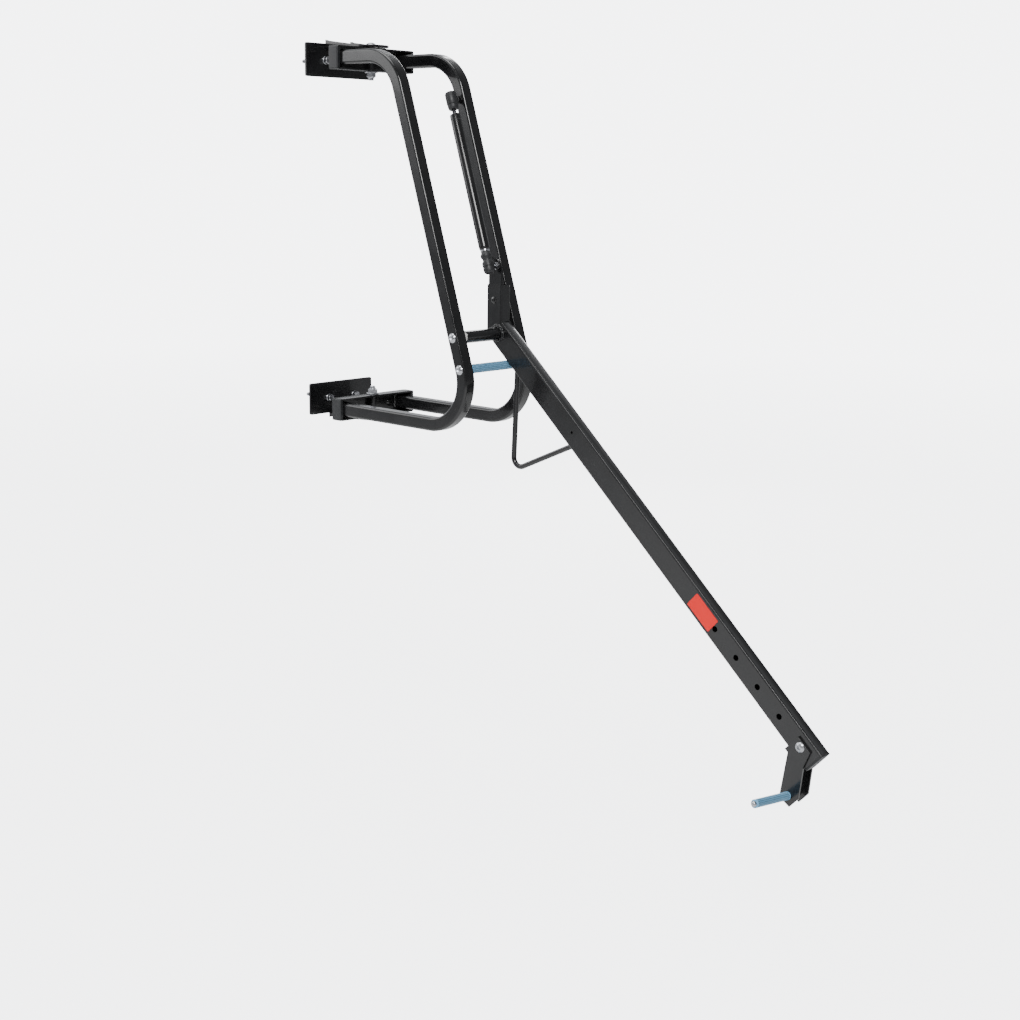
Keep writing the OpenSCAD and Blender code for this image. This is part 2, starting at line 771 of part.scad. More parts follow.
module hook_sleeve() {
  color(sky_sleeve) hook_frame() translate([0, 0, arm_w / 2 + hook_wrap + 1.5]) difference() {
    cylinder(r = hook_sleeve_r, h = hook_len - hook_tip_len - arm_w / 2 - hook_wrap - 1.5);
    translate([0, 0, -1]) cylinder(r = hook_rod_r, h = hook_len);
  }
}

module hook_tip() {
  color(zinc) hook_frame() translate([0, 0, hook_len - hook_tip_len]) {
    cylinder(r = hook_rod_r, h = 1 + eps);
    intersection() {
      translate([0, 0, 1]) sphere(r = hook_rod_r);
      translate([0, 0, 1]) cylinder(r = hook_rod_r, h = hook_rod_r);
    }
  }
}

module at_hook_bolt() {
  arm_frame() translate([hole_first + (hole_count - 1) * hole_pitch, 0, 0]) children();
}

module hook_bolt() {
  color(zinc) at_hook_bolt() rotate([90, 0, 0]) {
    translate([0, 0, -arm_w / 2 - hook_wrap - 8])
      cylinder(r = bolt_r, h = arm_w + 2 * hook_wrap + 8 + eps);
    translate([0, 0, arm_w / 2 + hook_wrap]) dome_head(dome_r, dome_h, 5);
  }
}

module hook_nut() {
  color(zinc) at_hook_bolt() translate([0, arm_w / 2 + hook_wrap, 0]) rotate([-90, 0, 0])
    difference() {
      hex_prism(hex_af, 6.5);
      translate([0, 0, -1]) cylinder(r = bolt_r, h = 9);
    }
}

// ---- ball studs and gas spring ----

module upper_ball_stud() {
  color(black_coat) translate(upper_ball) {
    rotate([0, 90, 0]) rotate_extrude() {
      intersection() {
        circle(ball_r);
        translate([0, -ball_r]) square([ball_r, 2 * ball_r]);
      }
      square([stud_neck_r, upper_ball_gap - stud_flange_t + eps]);
    }
    translate([upper_ball_gap - stud_flange_t, 0, 0]) rotate([0, 90, 0]) hex_prism(11, stud_flange_t);
    translate([upper_ball_gap - eps, 0, 0]) rotate([0, 90, 0])
      cylinder(r = thread_r, h = wall_t + 7);
  }
}

module upper_stud_nut() {
  color(black_coat) translate(upper_ball + [upper_ball_gap + wall_t, 0, 0]) rotate([0, 90, 0])
    difference() {
      hex_prism(10, 5);
      translate([0, 0, -1]) cylinder(r = thread_r, h = 7);
    }
}

// The lower stud stops just short of the socket: this is the linkage's open pivot
module lower_ball_stud() {
  color(zinc) translate([0, lower_ball[1], lower_ball[2]]) {
    translate([lower_ball_x + socket_r + 0.8, 0, 0]) rotate([0, 90, 0])
      cylinder(r = stud_neck_r, h = lug_near - stud_flange_t - lower_ball_x - socket_r - 0.8 + eps);
    translate([lug_near - stud_flange_t, 0, 0]) rotate([0, 90, 0]) hex_prism(11, stud_flange_t);
    translate([lug_near - eps, 0, 0]) rotate([0, 90, 0]) cylinder(r = thread_r, h = lug_t + 7);
  }
}

module lower_stud_nut() {
  color(zinc) translate([lug_near + lug_t, lower_ball[1], lower_ball[2]]) rotate([0, 90, 0])
    difference() {
      hex_prism(10, 5);
      translate([0, 0, -1]) cylinder(r = thread_r, h = 7);
    }
}

module spring_upper_socket() {
  color(dark_plastic) difference() {
    spring_frame() translate([0, 0, -socket_nose]) {
      cylinder(r1 = socket_r - 1.5, r2 = socket_r, h = 3, $fn = 64);
      translate([0, 0, 3 - eps]) cylinder(r = socket_r, h = 17);
      translate([0, 0, 20 - 2 * eps]) cylinder(r1 = socket_r, r2 = socket_r - 2, h = socket_len - 20);
    }
    translate(upper_ball - [ball_r + free_gap, 0, 0]) rotate([0, 90, 0])
      cylinder(r = ball_r + free_gap, h = 3 * socket_r);
    spring_frame() translate([0, 0, ball_r + 2]) cylinder(r = rod_r, h = socket_len);
  }
}

module spring_rod() {
  color(dark_rod) spring_frame() translate([0, 0, ball_r + 2])
    cylinder(r = rod_r, h = rod_end - ball_r - 2);
}

module spring_piston() {
  color(dark_plastic) spring_frame() translate([0, 0, rod_end])
    cylinder(r = cylinder_bore - run_gap, h = piston_len);
}

module spring_cylinder() {
  color(black_coat) spring_frame() difference() {
    translate([0, 0, cylinder_from]) cylinder(r = cylinder_r, h = cylinder_to - cylinder_from);
    translate([0, 0, cylinder_from - 1])
      cylinder(r = cylinder_bore, h = cylinder_to - cylinder_from - 5);
  }
}

module spring_rod_guide() {
  color(dark_plastic) spring_frame() translate([0, 0, cylinder_from]) difference() {
    cylinder(r = cylinder_bore, h = guide_len);
    translate([0, 0, -1]) cylinder(r = rod_r + run_gap, h = guide_len + 2);
  }
}

module spring_collar() {
  color(zinc) spring_frame() translate([0, 0, cylinder_to])
    cylinder(r = cylinder_r - 1.2, h = collar_len);
}

module spring_lower_socket() {
  color(dark_plastic) spring_frame() translate([0, 0, cylinder_to + collar_len]) {
    cylinder(r1 = socket_r - 2, r2 = socket_r, h = 8);
    translate([0, 0, 8 - eps]) cylinder(r = socket_r, h = lower_socket_len - 8 - 4);
    translate([0, 0, lower_socket_len - 4 - 2 * eps]) cylinder(r1 = socket_r, r2 = socket_r - 3, h = 4);
  }
}

upper_wall_bracket();
lower_wall_bracket();
wall_screws();
wall_washers();
swivel_bolts();
swivel_nuts();
swivel_washers();
slip_washers();
swivel_spacers();
upper_cross_channel();
lower_cross_channel();
channel_end_caps();
channel_screws();
channel_screw_nuts();
left_side_tube();
right_side_tube();
pivot_axle();
pivot_screws();
stop_bar();
stop_bar_sleeve();
stop_bar_screws();
pivot_tube();
pivot_bushes();
arm_tube();
arm_end_plug();
arm_label();
lever_tube();
lever_lug();
lug_bolt();
lug_nut();
loop_rod();
hook_bracket();
hook_rod();
hook_sleeve();
hook_tip();
hook_bolt();
hook_nut();
upper_ball_stud();
upper_stud_nut();
lower_ball_stud();
lower_stud_nut();
spring_upper_socket();
spring_rod();
spring_piston();
spring_cylinder();
spring_rod_guide();
spring_collar();
spring_lower_socket();
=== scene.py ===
"""Studio model of a swivelling wall rack that stores a bicycle by its front wheel.

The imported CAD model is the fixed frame. This script gives each piece its finished
shape and finish, adds the weld beads, lights the rack and sets the camera.
"""

import json
import logging
import math
import random
from collections.abc import Iterable, Sequence
from dataclasses import dataclass, field
from enum import Enum

import bmesh
import bpy
from mathutils import Matrix, Vector


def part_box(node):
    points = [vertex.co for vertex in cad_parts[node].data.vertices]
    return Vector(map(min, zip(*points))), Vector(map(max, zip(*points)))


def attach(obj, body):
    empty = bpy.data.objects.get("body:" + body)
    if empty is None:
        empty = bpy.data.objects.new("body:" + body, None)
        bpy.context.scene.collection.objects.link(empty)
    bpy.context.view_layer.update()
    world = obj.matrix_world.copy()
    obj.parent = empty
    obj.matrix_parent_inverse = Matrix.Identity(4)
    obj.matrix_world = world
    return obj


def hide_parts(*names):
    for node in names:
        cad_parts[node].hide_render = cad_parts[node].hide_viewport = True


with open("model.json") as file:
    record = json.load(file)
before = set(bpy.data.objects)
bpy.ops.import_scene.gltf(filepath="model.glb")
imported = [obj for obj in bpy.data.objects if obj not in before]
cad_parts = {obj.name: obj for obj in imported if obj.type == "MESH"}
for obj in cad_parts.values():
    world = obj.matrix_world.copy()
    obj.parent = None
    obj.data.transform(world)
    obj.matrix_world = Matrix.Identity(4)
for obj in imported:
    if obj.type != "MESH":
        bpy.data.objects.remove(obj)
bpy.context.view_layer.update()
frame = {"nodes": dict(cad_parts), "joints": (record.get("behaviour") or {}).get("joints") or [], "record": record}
log = logging.getLogger("wall_rack")

MM = 0.001
X_AXIS = Vector((1, 0, 0))
Y_AXIS = Vector((0, 1, 0))
Z_AXIS = Vector((0, 0, 1))
Profile = Sequence[tuple[float, float]]


class Body(Enum):
    """The rigid bodies that a piece can ride on."""

    WALL = "wall_mount"
    FRAME = "swing_frame"
    ARM = "lift_arm"
    ROD = "spring_rod_end"
    CYLINDER = "spring_cylinder_end"


class Slot(Enum):
    """The record's material slots."""

    COAT = "black_coat"
    ZINC = "zinc_steel"
    ROD = "dark_rod"
    PLASTIC = "dark_plastic"
    SLEEVE = "blue_sleeve"
    NYLON = "white_nylon"
    LABEL = "red_label"


class Surface(Enum):
    """How a finish breaks up the light at small scale."""

    PEEL = "peel"
    BRUSHED = "brushed"
    MOULDED = "moulded"


# ---------------------------------------------------------------- finishes


class Sheet:
    """A node tree with short calls for adding nodes and joining them."""

    def __init__(self, tree: bpy.types.NodeTree) -> None:
        """Starts with an empty tree.

        Args:
            tree: The tree to fill.
        """
        self.tree = tree
        tree.nodes.clear()

    def add(self, kind: str, settings: dict | None = None, **inputs) -> bpy.types.Node:
        """Adds a node.

        Args:
            kind: Node type, without the ShaderNode prefix.
            settings: Attributes of the node itself.
            **inputs: Input names, with _ for a space, to a value or an output socket.

        Returns:
            The new node.
        """
        prefix = "" if kind.startswith("NodeGroup") else "ShaderNode"
        node = self.tree.nodes.new(prefix + kind)
        for name, value in (settings or {}).items():
            setattr(node, name, value)
        for name, value in inputs.items():
            key = int(name[1:]) if name[0] == "i" and name[1:].isdigit() else name.replace("_", " ")
            self.set(node.inputs[key], value)
        return node

    def set(self, socket: bpy.types.NodeSocket, value) -> None:
        """Links an output to a socket, or stores a plain value in it."""
        if isinstance(value, bpy.types.NodeSocket):
            self.tree.links.new(value, socket)
        else:
            socket.default_value = value


def new_group(name: str, inputs: Sequence[tuple], outputs: Sequence[tuple]) -> tuple:
    """Makes a shader node group with named sockets.

    Args:
        name: The group's name.
        inputs: Name, type and default value of each input.
        outputs: Name and type of each output.

    Returns:
        The group's tree, its Sheet, and its input and output nodes.
    """
    tree = bpy.data.node_groups.new(name, "ShaderNodeTree")
    for label, kind, value in inputs:
        socket = tree.interface.new_socket(label, in_out="INPUT", socket_type="NodeSocket" + kind)
        if value is not None:
            socket.default_value = value
    for label, kind in outputs:
        tree.interface.new_socket(label, in_out="OUTPUT", socket_type="NodeSocket" + kind)
    sheet = Sheet(tree)
    return tree, sheet, sheet.add("NodeGroupInput"), sheet.add("NodeGroupOutput")


def make_peel_group() -> bpy.types.NodeTree:
    """Slow waves and fine pimples of a sprayed coat, as a height."""
    tree, sheet, into, out = new_group(
        "sprayed_peel",
        [("Vector", "Vector", None), ("Scale", "Float", 420.0), ("Fine Share", "Float", 0.3)],
        [("Height", "Float")],
    )
    slow = sheet.add("TexNoise", Vector=into.outputs["Vector"], Scale=into.outputs["Scale"], Detail=1.5)
    finer = sheet.add("Math", {"operation": "MULTIPLY"}, i0=into.outputs["Scale"], i1=3.7)
    fine = sheet.add("TexNoise", Vector=into.outputs["Vector"], Scale=finer.outputs[0], Detail=2.0)
    mix = sheet.add(
        "Mix", {"data_type": "FLOAT"}, i0=into.outputs["Fine Share"], i2=slow.outputs[0], i3=fine.outputs[0]
    )
    sheet.set(out.inputs["Height"], mix.outputs[0])
    return tree


def make_smudge_group() -> bpy.types.NodeTree:
    """Handled patches and dust that shift a roughness between two values."""
    tree, sheet, into, out = new_group(
        "handled_smudge",
        [("Vector", "Vector", None), ("Scale", "Float", 18.0), ("Low", "Float", 0.2), ("High", "Float", 0.3)],
        [("Roughness", "Float"), ("Mask", "Float")],
    )
    wide = sheet.add("TexNoise", Vector=into.outputs["Vector"], Scale=into.outputs["Scale"], Detail=6.0)
    wide.inputs["Roughness"].default_value = 0.62
    mask = sheet.add("MapRange", Value=wide.outputs[0], From_Min=0.38, From_Max=0.66)
    result = sheet.add(
        "MapRange",
        Value=mask.outputs[0],
        To_Min=into.outputs["Low"],
        To_Max=into.outputs["High"],
    )
    sheet.set(out.inputs["Roughness"], result.outputs[0])
    sheet.set(out.inputs["Mask"], mask.outputs[0])
    return tree


def make_dust_group() -> bpy.types.NodeTree:
    """Sparse bright specks, thicker on faces that look up."""
    tree, sheet, into, out = new_group(
        "settled_dust",
        [("Vector", "Vector", None), ("Scale", "Float", 260.0), ("Amount", "Float", 0.3)],
        [("Mask", "Float")],
    )
    cells = sheet.add("TexVoronoi", Vector=into.outputs["Vector"], Scale=into.outputs["Scale"])
    dots = sheet.add("MapRange", Value=cells.outputs["Distance"], From_Min=0.16, From_Max=0.05)
    veil = sheet.add("TexNoise", Vector=into.outputs["Vector"], Scale=30.0, Detail=4.0)
    patch = sheet.add("MapRange", Value=veil.outputs[0], From_Min=0.5, From_Max=0.75)
    both = sheet.add("Math", {"operation": "MULTIPLY"}, i0=dots.outputs[0], i1=patch.outputs[0])
    facing = sheet.add("NewGeometry")
    height = sheet.add("SeparateXYZ", Vector=facing.outputs["Normal"])
    up = sheet.add(
        "MapRange", Value=height.outputs["Z"], From_Min=-0.2, From_Max=0.9, To_Min=0.15, To_Max=1.0
    )
    lying = sheet.add("Math", {"operation": "MULTIPLY"}, i0=both.outputs[0], i1=up.outputs[0])
    amount = sheet.add("Math", {"operation": "MULTIPLY"}, i0=lying.outputs[0], i1=into.outputs["Amount"])
    sheet.set(out.inputs["Mask"], amount.outputs[0])
    return tree


def make_grain_group() -> bpy.types.NodeTree:
    """Short drawn streaks of a plated or turned metal, as a height and a tone."""
    tree, sheet, into, out = new_group(
        "plated_grain",
        [("Vector", "Vector", None), ("Scale", "Float", 600.0), ("Blotch", "Float", 70.0)],
        [("Height", "Float"), ("Tone", "Float")],
    )
    fine = sheet.add("TexNoise", Vector=into.outputs["Vector"], Scale=into.outputs["Scale"], Detail=3.0)
    blotch = sheet.add("TexNoise", Vector=into.outputs["Vector"], Scale=into.outputs["Blotch"], Detail=3.0)
    tone = sheet.add(
        "Mix", {"data_type": "FLOAT"}, i0=0.4, i2=blotch.outputs[0], i3=fine.outputs[0]
    )
    sheet.set(out.inputs["Height"], fine.outputs[0])
    sheet.set(out.inputs["Tone"], tone.outputs[0])
    return tree


class Effects:
    """The node groups that several finishes share."""

    def __init__(self) -> None:
        """Builds each group once."""
        self.peel = make_peel_group()
        self.smudge = make_smudge_group()
        self.dust = make_dust_group()
        self.grain = make_grain_group()


@dataclass(frozen=True)
class Finish:
    """One surface finish, dressed as a procedural material.

    Attributes:
        name: The material's name.
        base: Main colour.
        second: The colour it drifts towards in patches.
        rough: Lowest and highest roughness.
        surface: The kind of fine texture.
        scale: Size of the fine texture, in repeats per metre.
        bump: Depth of the fine texture, in millimetres.
        stretch: How the fine texture is drawn out along each axis.
        metallic: Whether it is bare metal.
        coat: Weight of a clear top layer.
        dust: How much dust has settled.
        relief: Whether the piece carries a relief attribute; painted shade, a darker copy of the base colour, is
            mixed into its grooves where that attribute is low.
    """

    name: str
    base: tuple[float, float, float]
    second: tuple[float, float, float]
    rough: tuple[float, float]
    surface: Surface
    scale: float = 420.0
    bump: float = 0.02
    stretch: tuple[float, float, float] = (1.0, 1.0, 1.0)
    metallic: float = 0.0
    coat: float = 0.0
    dust: float = 0.0
    relief: bool = False

    def build(self, effects: Effects) -> bpy.types.Material:
        """Makes the material.

        Args:
            effects: The shared node groups.

        Returns:
            The finished material.
        """
        material = bpy.data.materials.new(self.name)
        material.use_nodes = True
        sheet = Sheet(material.node_tree)
        place = sheet.add("TexCoord").outputs["Object"]
        drawn = sheet.add("Mapping", Vector=place, Scale=self.stretch).outputs[0]
        smudge = sheet.add("Group", {"node_tree": effects.smudge}, Vector=place)
        smudge.inputs["Low"].default_value, smudge.inputs["High"].default_value = self.rough
        colour = self._mix(sheet, smudge.outputs["Mask"], self.base, self.second)
        if self.surface is Surface.BRUSHED:
            fine = sheet.add("Group", {"node_tree": effects.grain}, Vector=drawn, Scale=self.scale)
            colour = self._mix(sheet, fine.outputs["Tone"], self.base, self.second)
        else:
            fine = sheet.add("Group", {"node_tree": effects.peel}, Vector=drawn, Scale=self.scale)
            share = 0.75 if self.surface is Surface.MOULDED else 0.2
            fine.inputs["Fine Share"].default_value = share
        # Painted shade: the grooves get a colour at 0.16 of the base, standing in for light that falls short
        # there.
        if self.relief:
            groove = sheet.add("Attribute", {"attribute_name": "relief"}).outputs["Fac"]
            dark = tuple(0.16 * channel for channel in self.base)
            shade = sheet.add("MapRange", Value=groove, From_Min=0.0, From_Max=0.6)
            mixed = sheet.add("Mix", {"data_type": "RGBA"}, i0=shade.outputs[0], i6=(*dark, 1), i7=colour)
            colour = mixed.outputs[2]
        if self.dust:
            specks = sheet.add("Group", {"node_tree": effects.dust}, Vector=place, Amount=self.dust)
            grey = (0.42, 0.41, 0.4, 1)
            mixed = sheet.add("Mix", {"data_type": "RGBA"}, i0=specks.outputs["Mask"], i6=colour, i7=grey)
            colour = mixed.outputs[2]
        bump = sheet.add("Bump", Height=fine.outputs["Height"], Distance=self.bump * MM, Strength=1.0)
        shader = sheet.add(
            "BsdfPrincipled",
            Base_Color=colour,
            Roughness=smudge.outputs["Roughness"],
            Normal=bump.outputs[0],
            Metallic=self.metallic,
            Coat_Weight=self.coat,
            Coat_Roughness=0.06,
        )
        sheet.add("OutputMaterial", Surface=shader.outputs[0])
        return material

    @staticmethod
    def _mix(sheet: Sheet, factor, first: tuple, second: tuple) -> bpy.types.NodeSocket:
        """Blends two plain colours by a mask and returns the colour socket."""
        return sheet.add(
            "Mix", {"data_type": "RGBA"}, i0=factor, i6=(*first, 1), i7=(*second, 1)
        ).outputs[2]


FINISHES: dict[Slot, Finish] = {
    Slot.COAT: Finish(
        "black_powder_coat",
        base=(0.006, 0.006, 0.0066),
        second=(0.010, 0.010, 0.0108),
        rough=(0.17, 0.29),
        surface=Surface.PEEL,
        scale=330.0,
        bump=0.05,
        coat=0.35,
        dust=0.22,
    ),
    Slot.ZINC: Finish(
        "bright_zinc",
        base=(0.62, 0.63, 0.65),
        second=(0.42, 0.43, 0.46),
        rough=(0.2, 0.38),
        surface=Surface.BRUSHED,
        scale=900.0,
        bump=0.012,
        stretch=(1.0, 1.0, 0.25),
        metallic=1.0,
    ),
    Slot.ROD: Finish(
        "nitrided_rod",
        base=(0.05, 0.05, 0.055),
        second=(0.035, 0.035, 0.04),
        rough=(0.14, 0.24),
        surface=Surface.BRUSHED,
        scale=1500.0,
        bump=0.004,
        stretch=(1.0, 1.0, 0.1),
        metallic=0.7,
    ),
    Slot.PLASTIC: Finish(
        "moulded_dark_plastic",
        base=(0.016, 0.0165, 0.018),
        second=(0.026, 0.027, 0.029),
        rough=(0.4, 0.56),
        surface=Surface.MOULDED,
        scale=1100.0,
        bump=0.03,
        dust=0.3,
    ),
    Slot.SLEEVE: Finish(
        "knurled_blue_sleeve",
        base=(0.2, 0.48, 0.74),
        second=(0.26, 0.55, 0.8),
        rough=(0.36, 0.5),
        surface=Surface.MOULDED,
        scale=1300.0,
        bump=0.02,
        dust=0.15,
        relief=True,
    ),
    Slot.NYLON: Finish(
        "white_nylon",
        base=(0.72, 0.72, 0.7),
        second=(0.64, 0.64, 0.61),
        rough=(0.35, 0.5),
        surface=Surface.MOULDED,
        scale=900.0,
        bump=0.015,
    ),
    Slot.LABEL: Finish(
        "red_film",
        base=(0.95, 0.006, 0.003),
        second=(0.88, 0.005, 0.003),
        rough=(0.32, 0.45),
        surface=Surface.PEEL,
        scale=160.0,
        bump=0.03,
        dust=0.1,
    ),
}


class Paintbox:
    """Every finish as a material, by slot."""

    def __init__(self) -> None:
        """Builds the shared groups and then each material."""
        effects = Effects()
        self.by_slot = {slot: finish.build(effects) for slot, finish in FINISHES.items()}

    def dress_cad(self) -> None:
        """Gives each CAD node the material of its own slot."""
        slots = {part["node"]: part["material_slot"] for part in frame["record"]["subparts"]}
        for name, node in frame["nodes"].items():
            node.data.materials.clear()
            node.data.materials.append(self.by_slot[Slot(slots[name])])


# ---------------------------------------------------------------- shaping


def unique(items: Iterable) -> list:
    """The items without repeats, in the order met, so that every run builds the same mesh."""
    return list(dict.fromkeys(items))


class Shaper:
    """One piece's mesh while it is shaped. Sizes are millimetres in the rack's frame."""

    def __init__(self) -> None:
        """Starts empty."""
        self.bm = bmesh.new()

    def fresh(self, before: set) -> list:
        """The vertices that weren't there before."""
        return [v for v in self.bm.verts if v not in before]

    def settle(self, before: set, origin: Sequence[float], axis: Vector) -> list:
        """Turns new geometry from +Z to an axis and moves it to its place.

        Args:
            before: Vertices that were there before.
            origin: Where the local origin goes.
            axis: Where local +Z points.

        Returns:
            The new vertices.
        """
        verts = self.fresh(before)
        bmesh.ops.remove_doubles(self.bm, verts=verts, dist=1e-5)
        verts = self.fresh(before)
        spot = Matrix.Translation(Vector(origin)) @ Z_AXIS.rotation_difference(axis).to_matrix().to_4x4()
        bmesh.ops.transform(self.bm, matrix=spot, verts=verts)
        faces = unique(f for v in verts for f in v.link_faces)
        bmesh.ops.recalc_face_normals(self.bm, faces=faces)
        return verts

    def turn(
        self, profile: Profile, origin: Sequence[float], axis: Vector, steps: int = 56, ring: bool = False
    ) -> list:
        """Turns a profile once round an axis, as on a lathe.

        Args:
            profile: Radius and height of each point.
            origin: Where height 0 on the axis goes.
            axis: Direction of growing height.
            steps: Steps in the full turn.
            ring: Whether the profile closes on itself.

        Returns:
            The new vertices.
        """
        before = set(self.bm.verts)
        points = [bmesh.ops.create_vert(self.bm, co=(r, 0, h))["vert"][0] for r, h in profile]
        pairs = list(zip(points, points[1:])) + ([(points[-1], points[0])] if ring else [])
        edges = [self.bm.edges.new(pair) for pair in pairs]
        bmesh.ops.spin(
            self.bm,
            geom=points + edges,
            cent=(0, 0, 0),
            axis=Z_AXIS,
            angle=2 * math.pi,
            steps=steps,
            use_merge=True,
            use_duplicate=False,
        )
        return self.settle(before, origin, axis)

    def hexagon(
        self, flats: float, profile: Profile, origin: Sequence[float], axis: Vector, ring: bool = False
    ) -> list:
        """Turns a profile and cuts six flats on it, so the chamfers run out as on a real nut.

        Args:
            flats: Width across the flats.
            profile: Radius and height of each point before the flats are cut.
            origin: Where height 0 on the axis goes.
            axis: Direction of growing height.
            ring: Whether the profile closes on itself.

        Returns:
            The new vertices.
        """
        before = set(self.bm.verts)
        self.turn(profile, (0, 0, 0), Z_AXIS, steps=72, ring=ring)
        for side in range(6):
            angle = math.radians(60 * side + 1.2)
            normal = Vector((math.cos(angle), math.sin(angle), 0))
            verts = self.fresh(before)
            geom = verts + unique(e for v in verts for e in v.link_edges)
            geom += unique(f for v in verts for f in v.link_faces)
            bmesh.ops.bisect_plane(
                self.bm, geom=geom, dist=1e-6, plane_co=normal * (flats / 2), plane_no=normal,
                clear_outer=True,
            )
            open_edges = unique(e for v in self.fresh(before) for e in v.link_edges if e.is_boundary)
            bmesh.ops.holes_fill(self.bm, edges=open_edges, sides=0)
        return self.settle(before, origin, axis)

    def box(self, low: Sequence[float], high: Sequence[float]) -> list:
        """Adds a box between two corners and returns its vertices."""
        low, high = Vector(low), Vector(high)
        size = high - low
        spot = Matrix.Translation((low + high) / 2) @ Matrix.Diagonal((*size, 1))
        return bmesh.ops.create_cube(self.bm, size=1.0, matrix=spot)["verts"]

    def round_edges(self, verts: list, width: float, segments: int = 3, along: Vector | None = None) -> None:
        """Rounds the sharp edges of some vertices.

        Args:
            verts: Vertices whose edges are looked at.
            width: Radius of the rounding.
            segments: Steps across it.
            along: Only edges in this direction are rounded, if given.
        """
        chosen = []
        for edge in unique(e for v in verts if v.is_valid for e in v.link_edges):
            if len(edge.link_faces) != 2 or edge.calc_face_angle() < math.radians(28):
                continue
            run = (edge.verts[1].co - edge.verts[0].co).normalized()
            if along is None or abs(run.dot(along)) > 0.99:
                chosen.append(edge)
        bmesh.ops.bevel(
            self.bm,
            geom=chosen,
            offset=width,
            offset_type="OFFSET",
            affect="EDGES",
            segments=segments,
            profile=0.5,
            material=-1,
            clamp_overlap=True,
        )

    def plate(self, outline: Sequence[Sequence[float]], thickness: Vector) -> list:
        """Fills a flat outline and gives it a thickness.

        Args:
            outline: Corners in order.
            thickness: The way and distance that it is thickened.

        Returns:
            The new vertices.
        """
        before = set(self.bm.verts)
        verts = [bmesh.ops.create_vert(self.bm, co=p)["vert"][0] for p in outline]
        face = self.bm.faces.new(verts)
        extruded = bmesh.ops.extrude_face_region(self.bm, geom=[face], use_keep_orig=True)["geom"]
        moved = [g for g in extruded if isinstance(g, bmesh.types.BMVert)]
        bmesh.ops.translate(self.bm, vec=thickness, verts=moved)
        verts = self.fresh(before)
        bmesh.ops.recalc_face_normals(self.bm, faces=unique(f for v in verts for f in v.link_faces))
        return verts

    def ring_edges(self, width: float, height: float, corner: float) -> list:
        """A rounded rectangle as a loop of edges in the XZ plane, round the origin.

        Args:
            width: Size along X.
            height: Size along Z.
            corner: Corner radius, or half the width for a round section.

        Returns:
            The loop's edges.
        """
        before = set(self.bm.verts)
        if corner * 2 >= min(width, height) - 1e-6:
            bmesh.ops.create_circle(self.bm, cap_ends=False, segments=24, radius=width / 2)
            verts = self.fresh(before)
        else:
            turned = Matrix.Rotation(math.radians(45), 4, "Z")
            bmesh.ops.create_circle(
                self.bm, cap_ends=True, segments=4, radius=math.sqrt(0.5), matrix=turned
            )
            verts = self.fresh(before)
            bmesh.ops.scale(self.bm, vec=(width, height, 1), verts=verts)
            bmesh.ops.bevel(
                self.bm,
                geom=verts,
                offset=corner,
                offset_type="OFFSET",
                affect="VERTICES",
                segments=6,
                profile=0.5,
                material=-1,
            )
            verts = self.fresh(before)
            faces = unique(f for v in verts for f in v.link_faces)
            bmesh.ops.delete(self.bm, geom=faces, context="FACES_KEEP_BOUNDARY")
        bmesh.ops.rotate(
            self.bm, verts=verts, cent=(0, 0, 0), matrix=Matrix.Rotation(math.radians(90), 3, "X")
        )
        return unique(e for v in verts for e in v.link_edges)

    def sweep(self, edges: list, start: Matrix, path: Sequence[tuple]) -> None:
        """Draws a loop of edges along straights and bends, and closes both ends.

        Args:
            edges: The loop, in the XZ plane with the path leaving along -Y.
            start: Where the loop starts.
            path: ("straight", vector) or ("bend", centre, axis, degrees, steps) in turn.
        """
        before = {v for v in self.bm.verts} - {v for e in edges for v in e.verts}
        verts = unique(v for e in edges for v in e.verts)
        bmesh.ops.transform(self.bm, matrix=start, verts=verts)
        first = edges
        for kind, *step in path:
            if kind == "straight":
                made = bmesh.ops.extrude_edge_only(self.bm, edges=edges)["geom"]
                moved = [g for g in made if isinstance(g, bmesh.types.BMVert)]
                bmesh.ops.translate(self.bm, vec=step[0], verts=moved)
                edges = [g for g in made if isinstance(g, bmesh.types.BMEdge)]
            else:
                centre, axis, degrees, steps = step
                made = bmesh.ops.spin(
                    self.bm,
                    geom=unique(v for e in edges for v in e.verts) + edges,
                    cent=centre,
                    axis=axis,
                    angle=math.radians(degrees),
                    steps=steps,
                    use_merge=False,
                    use_duplicate=False,
                )["geom_last"]
                edges = [g for g in made if isinstance(g, bmesh.types.BMEdge)]
        for loop in (first, edges):
            bmesh.ops.contextual_create(self.bm, geom=loop)
        verts = self.fresh(before)
        bmesh.ops.remove_doubles(self.bm, verts=verts, dist=1e-4)
        faces = unique(f for v in self.fresh(before) for f in v.link_faces)
        bmesh.ops.recalc_face_normals(self.bm, faces=faces)

    def take_cad(self, node: str) -> list:
        """Copies a CAD node's mesh, joined up and with its flat faces whole.

        Args:
            node: The CAD node.

        Returns:
            The new vertices.
        """
        before = set(self.bm.verts)
        self.bm.from_mesh(frame["nodes"][node].data)
        verts = self.fresh(before)
        bmesh.ops.scale(self.bm, vec=(1000, 1000, 1000), verts=verts)
        bmesh.ops.remove_doubles(self.bm, verts=verts, dist=1e-3)
        verts = self.fresh(before)
        edges = unique(e for v in verts for e in v.link_edges)
        bmesh.ops.dissolve_limit(
            self.bm, angle_limit=math.radians(0.6), verts=verts, edges=edges, use_dissolve_boundaries=False
        )
        return self.fresh(before)

